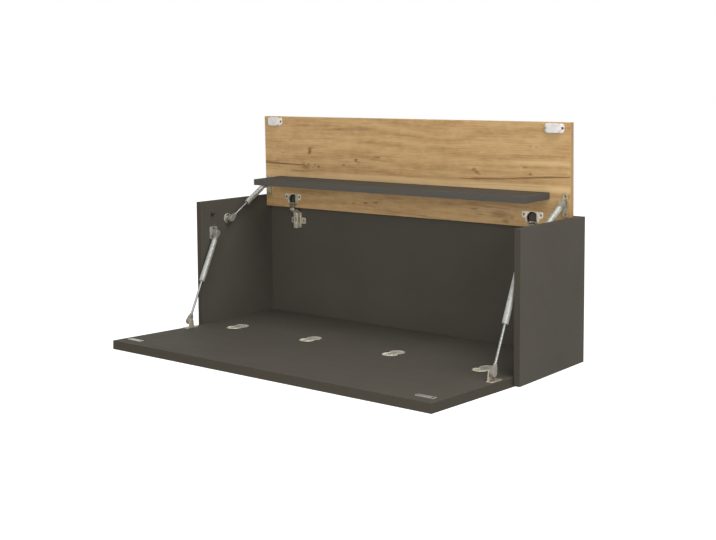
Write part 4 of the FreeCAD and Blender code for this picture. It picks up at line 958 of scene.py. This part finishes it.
def turned(name: str, stations: Sequence[Pair], sides: int) -> Piece:
    """Model a turned piece about the Z axis by extruding and widening a round face.

    Args:
        name: Name of the piece.
        stations: Radius and height of each corner of its outline, from the lowest up.
        sides: Corners of the round.

    Returns:
        The closed piece.
    """
    deselect()
    radius, height = stations[0]
    bpy.ops.mesh.primitive_circle_add(vertices=sides, radius=radius, fill_type="NGON",
                                      location=(0.0, 0.0, height))
    piece = bpy.context.object
    piece.name = name
    bpy.ops.object.transform_apply()
    with editing():
        for wide, high in stations[1:]:
            bpy.ops.mesh.extrude_region_move(TRANSFORM_OT_translate={"value": (0.0, 0.0, high - height)})
            grow = wide / radius
            bpy.ops.transform.resize(value=(grow, grow, 1.0), center_override=(0.0, 0.0, high))
            radius, height = wide, high
        bpy.ops.mesh.select_all(action="SELECT")
        bpy.ops.mesh.normals_make_consistent(inside=False)
    return piece


def cut_away(piece: Piece, cutter: Piece) -> None:
    """Take the cutter's shape out of a piece; the cut faces keep the cutter's finish.

    Args:
        piece: What is cut.
        cutter: What cuts it, removed afterwards.
    """
    select_only(piece)
    modify(piece, "BOOLEAN", operation="DIFFERENCE", solver="EXACT", material_mode="TRANSFER",
           object=cutter)
    remove(cutter)


def own_copy(source: Piece, name: str) -> Piece:
    """Copy an object with a mesh of its own, free of any parent.

    Args:
        source: The object to copy.
        name: Name of the copy.

    Returns:
        The copy, the only selected object.
    """
    copy = source.copy()
    copy.data = source.data.copy()
    copy.parent = None
    copy.name = name
    copy.data.name = name
    for key in list(copy.keys()):
        del copy[key]
    copy.hide_render = False
    copy.hide_viewport = False
    bpy.context.collection.objects.link(copy)
    select_only(copy)
    return copy


def merged_copy(node: str, name: str) -> Piece:
    """Copy a carried-over node and weld its loose triangles.

    Args:
        node: Name of the node.
        name: Name of the copy.

    Returns:
        The welded copy, the only selected object.
    """
    copy = own_copy(frame["nodes"][node], name)
    copy.matrix_world = Matrix.Identity(4)
    copy.data.materials.clear()
    with editing():
        bpy.ops.mesh.select_mode(type="VERT")
        bpy.ops.mesh.remove_doubles(threshold=WELD_REACH)
    return copy


def hand_over(piece: Piece, slot: Slot, *nodes: str) -> None:
    """Let a finished piece stand for carried-over nodes and ride on their body.

    Args:
        piece: The finished piece.
        slot: The record's slot of its finish; not used.
        nodes: The nodes that it replaces.
    """
    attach(piece, body_of(frame["nodes"][nodes[0]])[0])
    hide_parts(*nodes)
    LOG.info("%s stands for %s", piece.name, ", ".join(nodes))


# ---- Screws ----
@dataclass
class FittingScrew:
    """A countersunk screw with a cross recess, modelled once and copied to every place.

    The face of its head lies at the origin and its tip points down.
    """

    head_radius: float = 0.0033
    head_rim: float = 0.00022
    head_depth: float = 0.0017
    shank_radius: float = 0.0016
    tip_radius: float = 0.0003
    tip_length: float = 0.0026
    length: float = 0.0120
    recess_reach: float = 0.0022
    recess_width: float = 0.00095
    recess_depth: float = 0.0014
    recess_taper: float = 0.45
    sides: int = 24
    smooth: float = 32.0

    def model(self, plate: Material, shade: Material) -> Piece:
        """Model the screw.

        Args:
            plate: Finish of the screw.
            shade: Finish inside the recess, a near-black zinc of painted shade.

        Returns:
            The screw about the origin.
        """
        screw = turned("fitting_screw", (
            (self.tip_radius, -self.length), (self.shank_radius, self.tip_length - self.length),
            (self.shank_radius, -self.head_depth), (self.head_radius, -self.head_rim),
            (self.head_radius, -self.head_rim / 2), (self.head_radius - self.head_rim, 0.0),
        ), self.sides)
        screw.data.materials.append(plate)
        for across in (False, True):
            cut_away(screw, self.blade(shade, across))
        select_only(screw)
        bpy.ops.object.shade_smooth_by_angle(angle=math.radians(self.smooth))
        return screw

    def blade(self, shade: Material, across: bool) -> Piece:
        """One tapering arm of the tool that cuts the recess.

        Args:
            shade: Finish of the faces that it leaves, a near-black zinc of painted shade.
            across: Whether it lies along Y instead of X.

        Returns:
            The arm, through the face of the head.
        """
        long, thin, high = self.recess_reach * 2, self.recess_width, self.recess_depth * 2
        deselect()
        bpy.ops.mesh.primitive_cube_add(size=1.0)
        arm = bpy.context.object
        arm.scale = (thin, long, high) if across else (long, thin, high)
        bpy.ops.object.transform_apply(location=False, rotation=False, scale=True)
        select_underside(arm)
        bpy.ops.object.mode_set(mode="EDIT")
        narrow = self.recess_taper
        bpy.ops.transform.resize(value=(narrow, narrow, 1.0), center_override=(0.0, 0.0, 0.0))
        bpy.ops.object.mode_set(mode="OBJECT")
        arm.data.materials.append(shade)
        return arm


@dataclass
class ScrewSet:
    """All the screws of one body, each put where its plain solid lies and turned on from the one before."""

    node: str
    turn: float = 0.65
    rim_share: float = 0.98

    def build(self, pattern: Piece, slot: Slot) -> None:
        """Copy the modelled screw to every place and join the copies.

        Args:
            pattern: The modelled screw.
            slot: The record's slot of its finish.
        """
        copies = []
        for index, solid in enumerate(self.solids()):
            copy = own_copy(pattern, f"{self.node}_{index}")
            copy.data.transform(self.place(solid) @ Matrix.Rotation(self.turn * index, 4, "Z"))
            copies.append(copy)
        select_only(*copies)
        bpy.ops.object.join()
        joined = bpy.context.object
        joined.name = f"cross_{self.node}"
        hand_over(joined, slot, self.node)

    def solids(self) -> list[np.ndarray]:
        """Part the node's plain screws.

        Returns:
            The corner points of each one.
        """
        copy = merged_copy(self.node, f"{self.node}_plain")
        with editing():
            bpy.ops.mesh.separate(type="LOOSE")
        parts = list(bpy.context.selected_objects)
        if copy not in parts:
            parts.append(copy)
        found = [np.array([vertex.co for vertex in part.data.vertices]) for part in parts]
        remove(*parts)
        return found

    def place(self, points: np.ndarray) -> Matrix:
        """Where a screw stands.

        Args:
            points: Corner points of its plain solid.

        Returns:
            The matrix that brings the modelled screw there.
        """
        middle = points.mean(axis=0)
        axis = np.linalg.svd(points - middle, full_matrices=False)[2][0]
        along = (points - middle) @ axis
        off = np.linalg.norm(points - middle - np.outer(along, axis), axis=1)
        if along[off.argmax()] < 0:
            axis, along = -axis, -along
        centre = points[off > off.max() * self.rim_share].mean(axis=0)
        head = centre + axis * (along.max() - (centre - middle) @ axis)
        turn = Vector((0.0, 0.0, 1.0)).rotation_difference(Vector(axis.tolist()))
        return Matrix.Translation(Vector(head.tolist())) @ turn.to_matrix().to_4x4()


# ---- Eased fittings ----
@dataclass
class EasedFitting:
    """A fitting with its sharp corners eased, so that its edges catch the light as pressed metal does.

    Angles are in degrees: faces that bend less than flat become one, corners over sharp are eased, and
    those under smooth look round.
    """

    node: str
    slot: Slot
    width: float = 0.00022
    segments: int = 2
    flat: float = 0.6
    sharp: float = 34.0
    smooth: float = 38.0

    def build(self, look: Material) -> None:
        """Weld a copy of the node, ease its corners and dress it.

        Args:
            look: Its finish.
        """
        piece = merged_copy(self.node, f"eased_{self.node}")
        piece.data.materials.append(look)
        self.open_slots(piece)
        select_only(piece)
        with editing():
            bpy.ops.mesh.dissolve_limited(angle_limit=math.radians(self.flat))
        modify(piece, "BEVEL", width=self.width, segments=self.segments, limit_method="ANGLE",
               angle_limit=math.radians(self.sharp), use_clamp_overlap=False)
        bpy.ops.object.shade_smooth_by_angle(angle=math.radians(self.smooth))
        hand_over(piece, self.slot, self.node)

    def open_slots(self, piece: Piece) -> None:
        """Cut what the fitting has beyond its eased corners; a plain one has nothing."""


@dataclass
class SlottedArms(EasedFitting):
    """The lid hinges' arms, with an adjusting slot in the front and a window in both side walls.

    One rounded box cuts the slot and one the windows, placed by Y and Z on the middle of each arm.
    """

    hinge_x: float = 0.3810
    corner: float = 0.0014
    corner_segments: int = 4
    slot_size: Triple = (0.0046, 0.0070, 0.0118)
    slot_place: Pair = (-0.0305, -0.0165)
    window_size: Triple = (0.0260, 0.0068, 0.0165)
    window_place: Pair = (-0.0240, -0.0175)

    def open_slots(self, piece: Piece) -> None:
        """Cut the slot and the windows of both arms.

        Args:
            piece: The pair of arms.
        """
        # The cut faces take a dark brown nickel: painted shade inside the slot and the windows.
        shade = Metal("slot_painted_shade", (0.14, 0.115, 0.08), 0.5, 0.7, 0.05, 0.5).material()
        for side in (-1, 1):
            for size, (y, z) in ((self.slot_size, self.slot_place), (self.window_size, self.window_place)):
                deselect()
                bpy.ops.mesh.primitive_cube_add(size=1.0, location=(side * self.hinge_x, y, z), scale=size)
                tool = bpy.context.object
                bpy.ops.object.transform_apply(location=True, rotation=False, scale=True)
                with editing():
                    bpy.ops.mesh.bevel(offset=self.corner, segments=self.corner_segments)
                tool.data.materials.append(shade)
                cut_away(piece, tool)


@dataclass
class MouldedFitting:
    """A moulded fitting whose skin runs softly round every corner and hollow."""

    node: str
    slot: Slot
    cell: float = 0.00030
    rounds: int = 3
    softness: float = 0.5
    smooth: float = 50.0

    def build(self, look: Material) -> None:
        """Weld a copy of the node, give it an even skin, soften its corners and dress it.

        Args:
            look: Its finish.
        """
        piece = merged_copy(self.node, f"moulded_{self.node}")
        modify(piece, "REMESH", mode="VOXEL", voxel_size=self.cell)
        modify(piece, "SMOOTH", factor=self.softness, iterations=self.rounds)
        piece.data.materials.clear()
        piece.data.materials.append(look)
        bpy.ops.object.shade_smooth_by_angle(angle=math.radians(self.smooth))
        hand_over(piece, self.slot, self.node)


# ---- Carried-over nodes ----
STRUTS = ("right_flap_strut", "left_flap_strut", "right_lid_strut", "left_lid_strut")
SCREW_NODES = ("carcass_fitting_screws", "flap_fitting_screws", "lid_fitting_screws")


def on_struts(*parts: str) -> tuple[str, ...]:
    """Names of the nodes of these parts on every strut."""
    return tuple(f"{strut}_{part}" for part in parts for strut in STRUTS)


# The upright boards and the shelf have dark finishes of their own, see dress_nodes.
NODE_SLOTS: dict[Slot, tuple[str, ...]] = {
    Slot.DARK_BOARD: ("bottom_panel", "flap_panel"),
    Slot.OAK_BOARD: ("lid_panel",),
    Slot.ZINC: ("carcass_cam_discs", "carcass_cam_bolts", "shelf_cam_discs", "shelf_cam_bolts",
                "wall_hanger_plates", "flap_strut_brackets", "lid_strut_brackets", "strike_plates",
                "flap_strut_side_plates", "lid_strut_side_plates", *SCREW_NODES,
                *on_struts("ball_stud")),
    Slot.NICKEL: ("lid_hinge_mounting_plates", "lid_hinge_arms", "lid_hinge_arm_screws",
                  "lid_hinge_cups", "lid_hinge_pins", "flap_hinge_base_cups", "flap_hinge_cups",
                  "flap_hinge_pins", "catch_magnets"),
    Slot.TUBE: on_struts("tube"),
    Slot.ROD: on_struts("rod"),
    Slot.SOCKET: on_struts("tube_socket", "rod_socket"),
    Slot.BLACK: ("lid_rest_pegs",),
    Slot.WHITE: ("magnet_housings",),
    Slot.SEAL: on_struts("rod_guide"),
    Slot.BEECH: ("carcass_dowels", "shelf_dowels"),
}

UPRIGHT_BOARDS: dict[Axis, tuple[str, ...]] = {
    Axis.X: ("right_side_panel", "left_side_panel"),
    Axis.Y: ("back_panel",),
}

EASED_METAL = ("lid_hinge_cups", "lid_hinge_mounting_plates", "flap_strut_brackets",
               "lid_strut_brackets", "flap_strut_side_plates", "lid_strut_side_plates", "strike_plates",
               "flap_hinge_base_cups", "flap_hinge_cups")


def dress_nodes(looks: dict[Slot, Material]) -> None:
    """Give every carried-over node its finish.

    Args:
        looks: The finishes by slot.
    """
    painted = {name: looks[slot] for slot, names in NODE_SLOTS.items() for name in names}
    for axis, names in UPRIGHT_BOARDS.items():
        painted.update(dict.fromkeys(names, DarkBoard(axis, f"upright_{axis.value.lower()}").material()))
    shelf = DarkBoard(Axis.Z, "shelf", deep=(0.056, 0.049, 0.040), pale=(0.076, 0.068, 0.056),
                      band=(0.098, 0.092, 0.080))
    painted["lid_shelf"] = shelf.material()
    for name, look in painted.items():
        node = frame["nodes"][name]
        if not node.material_slots:
            node.data.materials.append(look)
        for material_slot in node.material_slots:
            material_slot.material = look
        LOG.info("%s wears %s", name, look.name)


def fitting_looks() -> dict[str, Material]:
    """Make the finishes of the fittings whose plating differs from the rest of their slot.

    Returns:
        The materials by node.
    """
    own = {
        "flap_hinge_cups": Metal("cream_nickel", (0.82, 0.78, 0.62), 0.40, 0.54, 0.05, 0.25),
        "flap_hinge_base_cups": Metal("greyed_nickel", (0.58, 0.55, 0.47), 0.40, 0.54, 0.05, 0.30),
        "lid_hinge_mounting_plates": Metal("dull_nickel", (0.56, 0.50, 0.39), 0.32, 0.48, 0.06, 0.55),
        "lid_strut_brackets": Metal("yellow_zinc", (0.42, 0.345, 0.215), 0.36, 0.52, 0.05, 0.55),
        "flap_strut_brackets": Metal("rosy_zinc", (0.56, 0.49, 0.39), 0.36, 0.52, 0.05, 0.50),
    }
    return {node: metal.material() for node, metal in own.items()}


def fit_screws() -> None:
    """Model the fitting screw once and set it everywhere."""
    plate = Metal("dull_zinc", (0.25, 0.23, 0.19), 0.30, 0.45, 0.05, 0.70).material()
    # The faces inside the cross recess get a near-black zinc: painted shade.
    shade = Metal("recess_painted_shade", (0.05, 0.045, 0.038), 0.5, 0.7, 0.05, 0.6).material()
    pattern = FittingScrew().model(plate, shade)
    for node in SCREW_NODES:
        ScrewSet(node).build(pattern, Slot.ZINC)
    remove(pattern)


def ease_fittings(looks: dict[Slot, Material]) -> None:
    """Ease the corners of the pressed and moulded fittings.

    Args:
        looks: The finishes by slot.
    """
    own_looks = fitting_looks()
    SlottedArms("lid_hinge_arms", Slot.NICKEL).build(looks[Slot.NICKEL])
    for node in EASED_METAL:
        slot = Slot.NICKEL if node in NODE_SLOTS[Slot.NICKEL] else Slot.ZINC
        EasedFitting(node, slot).build(own_looks.get(node, looks[slot]))
    housings = EasedFitting("magnet_housings", Slot.WHITE, width=0.00040, segments=3)
    housings.build(looks[Slot.WHITE])
    for node in NODE_SLOTS[Slot.SOCKET]:
        MouldedFitting(node, Slot.SOCKET).build(looks[Slot.SOCKET])


def main() -> None:
    """Build the view, the stage and the dressed desk."""
    logging.basicConfig(level=logging.INFO, format="%(name)s: %(message)s")
    bpy.context.scene.view_settings.view_transform = "Standard"
    ViewPoint().build()
    Studio().build()
    looks = finishes()
    dress_nodes(looks)
    fit_screws()
    ease_fittings(looks)


if __name__ == "__main__":
    main()
